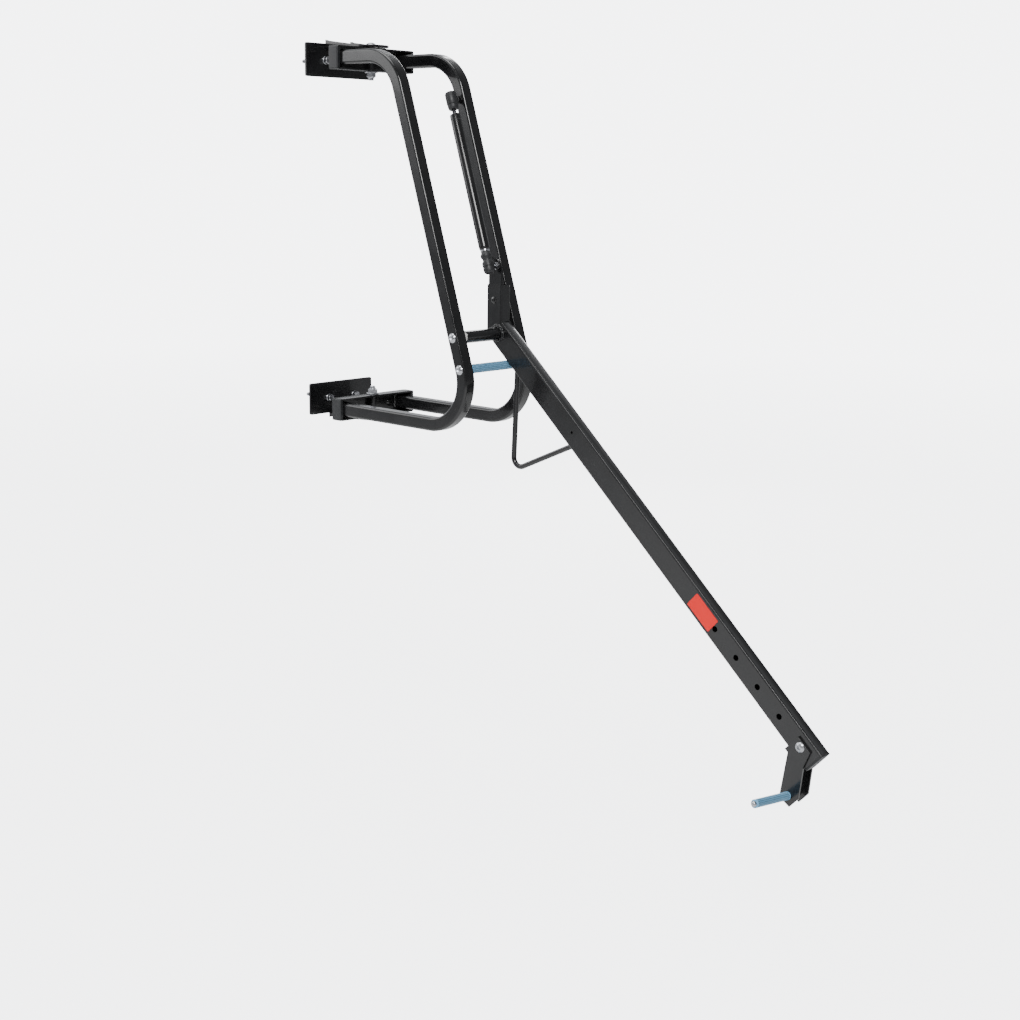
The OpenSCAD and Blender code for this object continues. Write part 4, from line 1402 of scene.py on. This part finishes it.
@dataclass
class LiftArm:
    """The lift arm with its lever, loop rod, label, plug and wheel hook.

    Attributes:
        paint: The materials.
        tools: Makes the fasteners.
        welds: Lays the weld beads.
        slope: Slope of the resting arm below the horizontal, in degrees.
        rise: Height of the arm's middle line over the pivot.
        height: The arm tube's height.
        width: The arm tube's width.
        x: Sideways place of the arm's middle.
        loop: The loop's two feet and its corner along the arm, and the corner's depth under it.
        loop_r: Radius of the loop rod.
        loop_bend: Bend radius at the loop's corner.
        label: Where the label starts along the arm, and its length.
        pivot: Middle of the arm's pivot.
    """

    paint: Paintbox
    tools: Fasteners
    welds: WeldShop
    slope: float = 42.0
    rise: float = 1.5
    height: float = 35.0
    width: float = 20.0
    x: float = 32.0
    loop: tuple[float, float, float, float] = (58.0, 206.0, 155.0, 133.5)
    loop_r: float = 4.0
    loop_bend: float = 13.0
    label: tuple[float, float] = (496.0, 48.5)
    pivot: Vector = field(default_factory=lambda: in_mm(joint("arm_lift")["pos_m"]))

    def build(self) -> None:
        """Makes every piece that the arm carries."""
        self.tubes()
        self.pivot_parts()
        self.plug_and_label()
        self.lug_fasteners()
        self.loop_rod()
        self.hook()
        self.lay_welds()

    def at(self, along: float, up: float, x: float | None = None) -> Vector:
        """A point given along the arm, over its middle line and sideways."""
        a = math.radians(self.slope)
        up += self.rise
        y = self.pivot.y - along * math.cos(a) - up * math.sin(a)
        z = self.pivot.z - along * math.sin(a) + up * math.cos(a)
        return Vector((self.x if x is None else x, y, z))

    def _frame(self) -> Matrix:
        """Takes points given along the arm (X), sideways (Y) and over it (Z) to the rack's frame."""
        a = math.radians(self.slope)
        along = Vector((0, -math.cos(a), -math.sin(a)))
        over = Vector((0, -math.sin(a), math.cos(a)))
        turn = Matrix((along, X_AXIS, over)).transposed().to_4x4()
        return Matrix.Translation(self.at(0, 0)) @ turn

    def tubes(self) -> None:
        """Arm tube, lever tube, lug plate and hook bracket, with their cut edges eased."""
        for node, name, edge in (
            ("arm_tube", "lift_arm_tube", 0.22),
            ("lever_tube", "lever_box", 0.22),
            ("lever_lug", "spring_lug", 0.5),
            ("hook_bracket", "hook_side_plates", 0.5),
        ):
            shape = Shaper()
            verts = shape.take_cad(node)
            shape.round_edges(verts, edge, 2)
            shape.finish(name, self.paint, Slot.COAT, Body.ARM, [node], crease=40)

    def pivot_parts(self) -> None:
        """The welded pivot tube and its flanged bushes."""
        low, high = box_mm(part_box("pivot_tube"))
        radius = (high.z - low.z) / 2
        length = high.x - low.x
        shape = Shaper()
        shape.turn(
            [(7.0, 0.0), (radius - 0.5, 0.0), (radius, 0.5), (radius, length - 0.5), (radius - 0.5, length),
             (7.0, length)],
            (low.x, self.pivot.y, self.pivot.z), X_AXIS, ring=True,
        )
        shape.finish("pivot_cross_tube", self.paint, Slot.COAT, Body.ARM, ["pivot_tube"])
        bushes = Shaper()
        for side, end in ((-1, low.x), (1, high.x)):
            bushes.turn(
                [(5.05, -15.0), (7.0, -15.0), (7.0, 0.0), (8.2, 0.0), (8.5, 0.3), (8.5, 2.6), (8.1, 3.0),
                 (5.4, 3.0), (5.05, 2.6)],
                (end, self.pivot.y, self.pivot.z), X_AXIS * side, ring=True,
            )
        bushes.finish("pivot_flange_bushes", self.paint, Slot.NYLON, Body.ARM, ["pivot_bushes"])

    def plug_and_label(self) -> None:
        """The moulded end plug, a rounded flange with a stem into the tube, and the blank red film."""
        half_h, half_w = self.height / 2, self.width / 2
        length = self._arm_length(box_mm(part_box("arm_tube"))[0])
        plug = Shaper()
        verts = plug.box((length, -half_w, -half_h), (length + 3, half_w, half_h))
        plug.round_edges(verts, 2.2, 4, along=X_AXIS)
        plug.round_edges(list(plug.bm.verts), 0.9, 3)
        plug.box((length - 16, -half_w + 1.8, -half_h + 1.8), (length + 0.5, half_w - 1.8, half_h - 1.8))
        bmesh.ops.transform(plug.bm, matrix=self._frame(), verts=plug.bm.verts)
        plug.finish("arm_tube_plug", self.paint, Slot.PLASTIC, Body.ARM, ["arm_end_plug"])
        film = Shaper()
        start, span = self.label
        verts = film.box((start, -half_w - 0.38, -12), (start + span, -half_w + 0.02, 12))
        film.round_edges(verts, 1.4, 4, along=Y_AXIS)
        film.round_edges(list(film.bm.verts), 0.12, 2)
        bmesh.ops.transform(film.bm, matrix=self._frame(), verts=film.bm.verts)
        film.finish("red_film_label", self.paint, Slot.LABEL, Body.ARM, ["arm_label"])

    def _arm_length(self, low: Vector) -> float:
        """Length of the arm tube from the pivot, from the height of its lowest corner."""
        a = math.radians(self.slope)
        drop = self.at(0, 0).z - low.z - self.height / 2 * math.cos(a)
        return drop / math.sin(a)

    def lug_fasteners(self) -> None:
        """The lug's bolt and nut, and the lower ball stud with its nut."""
        low, high = box_mm(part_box("lug_bolt"))
        centre = (low + high) / 2
        near, far = self.x - self.width / 2, self.x + self.width / 2
        bolt = Shaper()
        self.tools.dome(bolt, (near, centre.y, centre.z), -X_AXIS, 5.5, 2.2, 3.0)
        bolt.turn(
            [(0, 0), (3.95, 0), (3.95, high.x - near - 0.6), (3.4, high.x - near), (0, high.x - near)],
            (near, centre.y, centre.z), X_AXIS, steps=32,
        )
        bolt.finish("lug_dome_bolt", self.paint, Slot.COAT, Body.ARM, ["lug_bolt"])
        nuts = Shaper()
        self.tools.nut(nuts, (far, centre.y, centre.z), X_AXIS, 13.0, 6.5, 4.0, collar=1.5)
        nuts.finish("lug_lock_nut", self.paint, Slot.ZINC, Body.ARM, ["lug_nut"])
        low, high = box_mm(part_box("lower_ball_stud"))
        centre = (low + high) / 2
        lug_low, lug_high = box_mm(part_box("lever_lug"))
        face = lug_low.x
        stud = Shaper()
        stud.turn(
            [(0, 0), (2.2, 0), (2.6, 0.4), (2.6, face - 3 - low.x), (0, face - 3 - low.x)],
            (low.x, centre.y, centre.z), X_AXIS, steps=32,
        )
        self.tools.nut(stud, (face, centre.y, centre.z), -X_AXIS, 11.0, 3.0, 2.6)
        stud.turn(
            [(0, 0), (3, 0), (3, high.x - face - 0.5), (2.5, high.x - face), (0, high.x - face)],
            (face, centre.y, centre.z), X_AXIS, steps=32,
        )
        stud.finish("lower_stud", self.paint, Slot.ZINC, Body.ARM, ["lower_ball_stud"])
        nut = Shaper()
        self.tools.nut(nut, (lug_high.x, centre.y, centre.z), X_AXIS, 10.0, 5.0, 3.0)
        nut.finish("lower_stud_lock_nut", self.paint, Slot.ZINC, Body.ARM, ["lower_stud_nut"])

    def _loop_corners(self) -> tuple[Vector, Vector, Vector]:
        """The loop's two feet and its corner, along the arm and over it."""
        start, end, corner, depth = self.loop
        under = -self.height / 2
        return Vector((start, under)), Vector((corner, -depth)), Vector((end, under))

    def loop_rod(self) -> None:
        """The loop rod: two straight legs and a round bend, feet inside the weld."""
        foot, corner, end = self._loop_corners()
        first, second = (corner - foot), (end - corner)
        turn = math.degrees(first.angle(second))
        tangent = self.loop_bend * math.tan(math.radians(turn / 2))
        ways = [Vector((0, *(self.at(*v, 0) - self.at(0, 0, 0)).yz)) for v in (first, second)]
        ways = [w.normalized() for w in ways]
        inward = ways[0].cross(X_AXIS)
        if inward.dot(ways[1]) < 0:
            inward = -inward
        bend_start = self.at(*corner) - ways[0] * tangent
        centre = bend_start + inward * self.loop_bend
        spin = ways[0].cross(ways[1]).normalized()
        shape = Shaper()
        edges = shape.ring_edges(2 * self.loop_r, 2 * self.loop_r, self.loop_r)
        start = Matrix.Translation(self.at(*foot) + ways[0] * 0.5)
        start = start @ (-Y_AXIS).rotation_difference(ways[0]).to_matrix().to_4x4()
        shape.sweep(edges, start, [
            ("straight", ways[0] * (first.length - tangent - 0.5)),
            ("bend", centre, spin, turn, 18),
            ("straight", ways[1] * (second.length - tangent - 0.5)),
        ])
        shape.finish("bent_loop_rod", self.paint, Slot.COAT, Body.ARM, ["loop_rod"], even=False)

    @staticmethod
    def _hook_line() -> tuple[Vector, Vector, dict]:
        """The way the hook runs, the middle of its sleeve and its sizes, from the record's mount."""
        pin = mount("wheel_hook")
        return Vector(pin["axis"]).normalized(), in_mm(pin["pos_m"]), pin["dims"]

    def hook(self) -> None:
        """The hook's rod, sleeve, rounded tip, bolt and nut."""
        axis, centre, dims = self._hook_line()
        half = dims["length_mm"] / 2
        knurled_sleeve(
            "hook_grip", self.paint, Body.ARM, "hook_sleeve", centre - axis * half, axis, 2 * half,
            dims["r_mm"], around=14,
        )
        rod = Shaper()
        root = centre - axis * (half + (self.width + 9.4))
        reach = 2 * half + self.width + 9.4
        rod.turn([(0, 0), (3.4, 0), (4.0, 0.6), (4.0, reach), (0, reach)], root, axis, steps=40)
        rod.finish("hook_arm_rod", self.paint, Slot.COAT, Body.ARM, ["hook_rod"])
        tip = Shaper()
        quarter = [math.pi / 2 * i / 10 for i in range(11)]
        dome = [(4.0 * math.sin(a), 1 + 4.0 * math.cos(a)) for a in quarter]
        tip.turn([*dome, (4.0, 0), (0, 0)], centre + axis * half, axis, steps=40)
        tip.finish("hook_round_tip", self.paint, Slot.ZINC, Body.ARM, ["hook_tip"])
        low, high = box_mm(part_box("hook_bolt"))
        spot = (low + high) / 2
        plates_low, plates_high = box_mm(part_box("hook_bracket"))
        near, far = plates_low.x, plates_high.x
        bolt = Shaper()
        self.tools.dome(bolt, (near, spot.y, spot.z), -X_AXIS, 7.0, 3.6, 5.0)
        reach = high.x - near
        bolt.turn(
            [(0, 0), (3.95, 0), (3.95, reach - 0.6), (3.3, reach), (0, reach)], (near, spot.y, spot.z),
            X_AXIS, steps=32,
        )
        bolt.finish("hook_dome_bolt", self.paint, Slot.ZINC, Body.ARM, ["hook_bolt"])
        nut = Shaper()
        self.tools.nut(nut, (far, spot.y, spot.z), X_AXIS, 13.0, 6.5, 4.0, collar=1.5)
        nut.finish("hook_lock_nut", self.paint, Slot.ZINC, Body.ARM, ["hook_nut"])

    def lay_welds(self) -> None:
        """Beads at the pivot tube, the lever's foot, the loop's feet and the hook."""
        near, far = self.x - self.width / 2, self.x + self.width / 2
        runs = []
        for x, radius, first, last, drop in (
            (near - 0.4, 10.4, -120, 170, 2.2),
            (near - 0.2, 13.2, -20, 130, 1.7),
            (far + 0.4, 10.4, -120, 170, 2.2),
        ):
            arc = [
                Vector((x, self.pivot.y - radius * math.cos(math.radians(t)),
                        self.pivot.z + radius * math.sin(math.radians(t))))
                for t in range(first, last, 14)
            ]
            runs.append((arc, drop))
        self.welds.bead("pivot_welds", Body.ARM, runs)
        low, high = box_mm(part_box("lever_tube"))
        front = low.y
        meet = self.pivot.z + 15.0
        self.welds.bead("lever_welds", Body.ARM, [
            ([(near + 2, front - 0.6, meet), (far - 2, front - 0.6, meet)], 2.4),
            ([(near - 0.2, front + 2, meet - 1.5), (near - 0.2, high.y - 4, meet - 9)], 1.5),
            ([(far + 0.2, front + 2, meet - 1.5), (far + 0.2, high.y - 4, meet - 9)], 1.5),
        ])
        foot, _, end = self._loop_corners()
        runs = []
        for spot in (foot, end):
            ring = [
                self.at(spot.x + 5.0 * math.cos(t), spot.y - 0.6, self.x + 4.4 * math.sin(t))
                for t in (2 * math.pi * i / 10 for i in range(11))
            ]
            runs.append((ring, 1.5))
        self.welds.bead("loop_foot_welds", Body.ARM, runs)
        axis, centre, _ = self._hook_line()
        plates_end = box_mm(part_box("hook_bracket"))[1].x
        hub = centre + axis * ((plates_end - centre.x) / axis.x)
        ring = [
            hub + Vector((0.3, 5.0 * math.cos(a), 5.0 * math.sin(a)))
            for a in (2 * math.pi * i / 12 for i in range(13))
        ]
        self.welds.bead("hook_rod_welds", Body.ARM, [(ring, 1.4)])


# ---------------------------------------------------------------- gas spring


@dataclass
class GasSpring:
    """The gas spring: sockets, cylinder with its rod seal, and end ring; the rod stays as imported.

    Attributes:
        paint: The materials.
        barrel_r: Outside radius of the cylinder.
        rod_r: Radius of the rod.
        socket_r: Widest radius of the sockets.
        length: Distance between the two balls at rest.
        barrel_top: Distance from the upper ball to the cylinder's top.
        socket_len: Length of the lower socket.
        nose: How far the lower socket reaches past its ball.
        ring_t: Thickness of the end ring.
        ball: Middle of the upper ball.
        way: The way the spring runs, down from the upper ball.
    """

    paint: Paintbox
    barrel_r: float = 8.0
    rod_r: float = 3.0
    socket_r: float = 8.5
    length: float = 260.82
    barrel_top: float = 24.0
    socket_len: float = 33.0
    nose: float = 11.0
    ring_t: float = 3.0
    ball: Vector = field(default_factory=lambda: in_mm(joint("spring_swing")["pos_m"]))
    way: Vector = field(default_factory=lambda: Vector(joint("spring_slide")["axis"]).normalized())

    def build(self) -> None:
        """Makes every piece of the spring."""
        ring_from = self.length - self.socket_len + self.nose - self.ring_t
        self.upper_socket()
        self.cylinder(self.barrel_top, ring_from)
        self.lower_socket(ring_from + self.ring_t, self.length)

    def upper_socket(self) -> None:
        """The moulded upper socket, open on the side where the ball stud enters."""
        shape = Shaper()
        r = self.socket_r
        shape.turn(
            [(0, -11), (r - 2.2, -11), (r - 0.9, -10.2), (r, -8.2), (r, 7.4), (r - 0.4, 8.0), (r - 1.2, 8.4),
             (r - 1.2, 9.4), (r - 0.5, 9.9), (r - 0.6, 12.5), (r - 1.4, 15.2), (r - 2.1, 16.0), (0, 16.0)],
            self.ball, self.way, steps=56,
        )
        cutter = Shaper()
        cutter.turn([(0, 0), (4.8, 0), (4.8, 26), (0, 26)], self.ball - X_AXIS * 4.8, X_AXIS, steps=40)
        slot = self.ball + self.way * 2
        cutter.box((slot.x - 12, slot.y - 5, slot.z - 0.6), (slot.x - 6.8, slot.y + 5, slot.z + 0.6))
        piece = shape.finish(
            "upper_socket", self.paint, Slot.PLASTIC, Body.ROD, ["spring_upper_socket"], even=False
        )
        drill(piece, cutter)
        collar = Shaper()
        collar.turn(
            [(4.9, 0), (6.3, 0), (6.6, 0.4), (6.6, 1.6), (6.2, 2.0), (4.9, 2.0)],
            self.ball + X_AXIS * (self.socket_r - 1.1), X_AXIS, steps=40, ring=True,
        )
        collar.finish("upper_socket_lip", self.paint, Slot.PLASTIC, Body.ROD)

    def cylinder(self, top: float, end: float) -> None:
        """The cylinder with a groove under its rolled top edge, and the plated end ring.

        Args:
            top: Distance from the ball to the cylinder's top.
            end: Distance from the ball to the cylinder's end.
        """
        r = self.barrel_r
        bore = self.rod_r + 0.12
        shape = Shaper()
        shape.turn(
            [(bore + 0.4, top + 1.0), (r - 2.6, top + 0.5), (r - 1.6, top), (r - 0.5, top + 0.5),
             (r, top + 1.6), (r, top + 9.0), (r - 0.5, top + 9.5), (r - 0.5, top + 10.5), (r, top + 11.0),
             (r, end - 5.0), (r - 0.3, end - 2.0), (r - 1.4, end - 0.3), (r - 2.0, end),
             (0, end), (0, end - 5), (6.4, end - 5), (6.4, top + 3), (bore + 0.4, top + 3)],
            self.ball, self.way, steps=64,
        )
        shape.finish("spring_barrel", self.paint, Slot.COAT, Body.CYLINDER, ["spring_cylinder"])
        seal = Shaper()
        seal.turn(
            [(bore, top + 0.1), (bore + 1.0, top + 0.1), (bore + 1.2, top + 2.8), (bore, top + 2.8)],
            self.ball, self.way, steps=40, ring=True,
        )
        seal.finish("rod_seal", self.paint, Slot.PLASTIC, Body.CYLINDER)
        ring = Shaper()
        ring.turn(
            [(0, end), (r - 1.6, end), (r - 1.2, end + 0.4), (r - 1.2, end + self.ring_t - 0.4),
             (r - 1.6, end + self.ring_t), (0, end + self.ring_t)],
            self.ball, self.way, steps=56,
        )
        ring.finish("spring_end_ring", self.paint, Slot.ZINC, Body.CYLINDER, ["spring_collar"])

    def lower_socket(self, start: float, total: float) -> None:
        """The moulded lower socket: a flared cup with a rounded end.

        Args:
            start: Distance from the upper ball to the socket's start.
            total: Distance between the two balls.
        """
        r = self.socket_r
        nose = total + self.nose
        shape = Shaper()
        shape.turn(
            [(0, start), (r - 2.4, start), (r - 2.0, start + 0.5), (r - 1.6, start + 2.6),
             (r - 0.3, start + 4.6), (r, start + 6.4), (r - 0.3, start + 8.4), (r - 1.8, start + 10.6),
             (r - 2.2, start + 12.6), (r - 1.9, start + 14.4), (r - 0.3, start + 16.2),
             (r, start + 18), (r, start + 22.4),
             (r - 0.9, start + 23.0), (r - 0.9, start + 23.9), (r, start + 24.5), (r - 0.1, nose - 4),
             (r - 0.9, nose - 1.6), (r - 2.2, nose - 0.6), (r - 2.8, nose), (r - 3.4, nose - 0.7),
             (0, nose - 0.9)],
            self.ball, self.way, steps=56,
        )
        shape.finish("lower_socket", self.paint, Slot.PLASTIC, Body.CYLINDER, ["spring_lower_socket"])
        boss = Shaper()
        end = self.ball + self.way * total
        boss.turn(
            [(0, 0), (5.2, 0), (5.2, 7.6), (4.8, 8.3), (3.0, 8.3), (3.0, 7.2), (0, 7.2)],
            end, X_AXIS, steps=40,
        )
        boss.finish("lower_socket_boss", self.paint, Slot.PLASTIC, Body.CYLINDER)


def drill(piece: bpy.types.Object, cutter: Shaper) -> None:
    """Cuts a shape out of a finished piece.

    Args:
        piece: The piece to cut.
        cutter: The shape taken away, in millimetres.
    """
    bmesh.ops.scale(cutter.bm, vec=(MM, MM, MM), verts=cutter.bm.verts)
    mesh = bpy.data.meshes.new("cutter")
    cutter.bm.to_mesh(mesh)
    cutter.bm.free()
    tool = bpy.data.objects.new("cutter", mesh)
    bpy.context.scene.collection.objects.link(tool)
    cut = piece.modifiers.new("cut", "BOOLEAN")
    cut.operation = "DIFFERENCE"
    cut.solver = "EXACT"
    cut.object = tool
    evaluated = piece.evaluated_get(bpy.context.evaluated_depsgraph_get())
    result = bpy.data.meshes.new_from_object(evaluated)
    piece.modifiers.remove(cut)
    old, piece.data = piece.data, result
    bpy.data.meshes.remove(old)
    bpy.data.objects.remove(tool)
    result.shade_smooth()
    result.set_sharp_from_angle(angle=math.radians(34))


# ---------------------------------------------------------------- studio


@dataclass
class Studio:
    """Pale floor, soft lights and the camera.

    Attributes:
        floor_z: Height of the floor, in metres.
        floor_tone: The floor's grey.
        backdrop: Brightness that the camera sees behind the rack.
        dim: Soft light from the room's side.
        glow: Soft light from the wall's side.
        air: Colour of the backdrop.
    """

    floor_z: float = -0.95
    floor_tone: float = 0.86
    backdrop: float = 6.0
    dim: float = 0.2
    glow: float = 0.8
    air: tuple[float, float, float, float] = (0.97, 0.98, 1.0, 1.0)

    def build(self) -> None:
        """Sets up floor, world, lights and camera."""
        self.floor()
        self.world()
        self.lamp("key_soft_box", (-2.4, -2.6, 2.2), (0, -0.3, 0), (1.5, 1.5), 120)
        self.lamp("side_strip", (2.4, 1.3, 0.7), (0, -0.3, -0.1), (0.6, 2.2), 26)
        self.lamp("top_soft_box", (-0.5, 0.2, 3.2), (0, -0.4, -0.2), (2.0, 2.2), 65)
        self.lamp("back_fill", (-1.4, 2.4, 1.2), (0, -0.3, 0), (2.4, 1.8), 30)
        self.camera()

    def floor(self) -> None:
        """A wide pale floor below the rack."""
        shape = bmesh.new()
        bmesh.ops.create_circle(shape, cap_ends=True, segments=96, radius=40)
        bmesh.ops.translate(shape, vec=(0, 0, self.floor_z), verts=shape.verts)
        mesh = bpy.data.meshes.new("floor")
        shape.to_mesh(mesh)
        shape.free()
        floor = bpy.data.objects.new("floor", mesh)
        bpy.context.scene.collection.objects.link(floor)
        material = bpy.data.materials.new("pale_floor")
        material.use_nodes = True
        sheet = Sheet(material.node_tree)
        tone = (*[self.floor_tone] * 3, 1)
        matt = sheet.add("BsdfPrincipled", Base_Color=tone, Roughness=0.85)
        air = sheet.add("Emission", Color=self.air, Strength=self.backdrop)
        lift = sheet.add("Emission", Color=self.air, Strength=self.backdrop * 0.62)
        lifted = sheet.add("AddShader", i0=matt.outputs[0], i1=lift.outputs[0])
        place = sheet.add("TexCoord").outputs["Object"]
        reach = sheet.add("VectorMath", {"operation": "LENGTH"}, i0=place)
        far = sheet.add("MapRange", Value=reach.outputs["Value"], From_Min=0.8, From_Max=7.0)
        fading = sheet.add("MixShader", i0=far.outputs[0], i1=lifted.outputs[0], i2=air.outputs[0])
        path = sheet.add("LightPath")
        seen = path.outputs["Is Camera Ray"]
        mix = sheet.add("MixShader", i0=seen, i1=matt.outputs[0], i2=fading.outputs[0])
        sheet.add("OutputMaterial", Surface=mix.outputs[0])
        mesh.materials.append(material)

    def world(self) -> None:
        """A bright backdrop for the camera and a softer glow for everything else."""
        world = bpy.data.worlds.new("studio_air")
        bpy.context.scene.world = world
        world.use_nodes = True
        sheet = Sheet(world.node_tree)
        seen = sheet.add("Background", Color=self.air, Strength=self.backdrop)
        incoming = sheet.add("NewGeometry").outputs["Incoming"]
        away = sheet.add("SeparateXYZ", Vector=incoming).outputs["Y"]
        side = sheet.add(
            "MapRange", Value=away, From_Min=0.2, From_Max=-0.5, To_Min=self.dim, To_Max=self.glow
        )
        lit = sheet.add("Background", Color=(0.95, 0.97, 1.0, 1), Strength=side.outputs[0])
        path = sheet.add("LightPath")
        mix = sheet.add("MixShader", i0=path.outputs["Is Camera Ray"], i1=lit.outputs[0], i2=seen.outputs[0])
        sheet.add("OutputWorld", Surface=mix.outputs[0])

    def lamp(
        self, name: str, place: tuple, target: tuple, size: tuple[float, float], power: float
    ) -> None:
        """A rectangular soft box.

        Args:
            name: The lamp's name.
            place: Where it stands, in metres.
            target: What it points at.
            size: Its width and height.
            power: Its power in watts.
        """
        light = bpy.data.lights.new(name, "AREA")
        light.shape = "RECTANGLE"
        light.size, light.size_y = size
        light.energy = power
        lamp = bpy.data.objects.new(name, light)
        lamp.location = place
        aim = Vector(target) - Vector(place)
        lamp.rotation_euler = aim.to_track_quat("-Z", "Y").to_euler()
        bpy.context.scene.collection.objects.link(lamp)

    def camera(self) -> None:
        """A camera to the rack's left, a little above its middle."""
        lens = bpy.data.cameras.new("studio_camera")
        lens.sensor_width = 36
        lens.lens = 56.16
        lens.clip_end = 200
        camera = bpy.data.objects.new("studio_camera", lens)
        place = Vector((-1.69049, -1.92778, 0.10388))
        yaw, pitch, roll = (math.radians(a) for a in (47.448, -12.159, 0.787))
        right = Vector((math.cos(yaw), -math.sin(yaw), 0))
        ahead = Vector((math.sin(yaw) * math.cos(pitch), math.cos(yaw) * math.cos(pitch), math.sin(pitch)))
        up = right.cross(ahead)
        turned_right = right * math.cos(roll) + up * math.sin(roll)
        turned_up = up * math.cos(roll) - right * math.sin(roll)
        turn = Matrix((turned_right, turned_up, -ahead)).transposed()
        camera.matrix_world = Matrix.Translation(place) @ turn.to_4x4()
        bpy.context.scene.collection.objects.link(camera)
        bpy.context.scene.camera = camera


def main() -> None:
    """Builds the rack and its studio."""
    logging.basicConfig(level=logging.INFO, format="%(name)s: %(message)s")
    paint = Paintbox()
    paint.dress_cad()
    tools = Fasteners()
    welds = WeldShop(paint)
    Studio().build()
    WallMount(paint, tools).build()
    SwingFrame(paint, tools, welds).build()
    LiftArm(paint, tools, welds).build()
    GasSpring(paint).build()


if __name__ == "__main__":
    main()
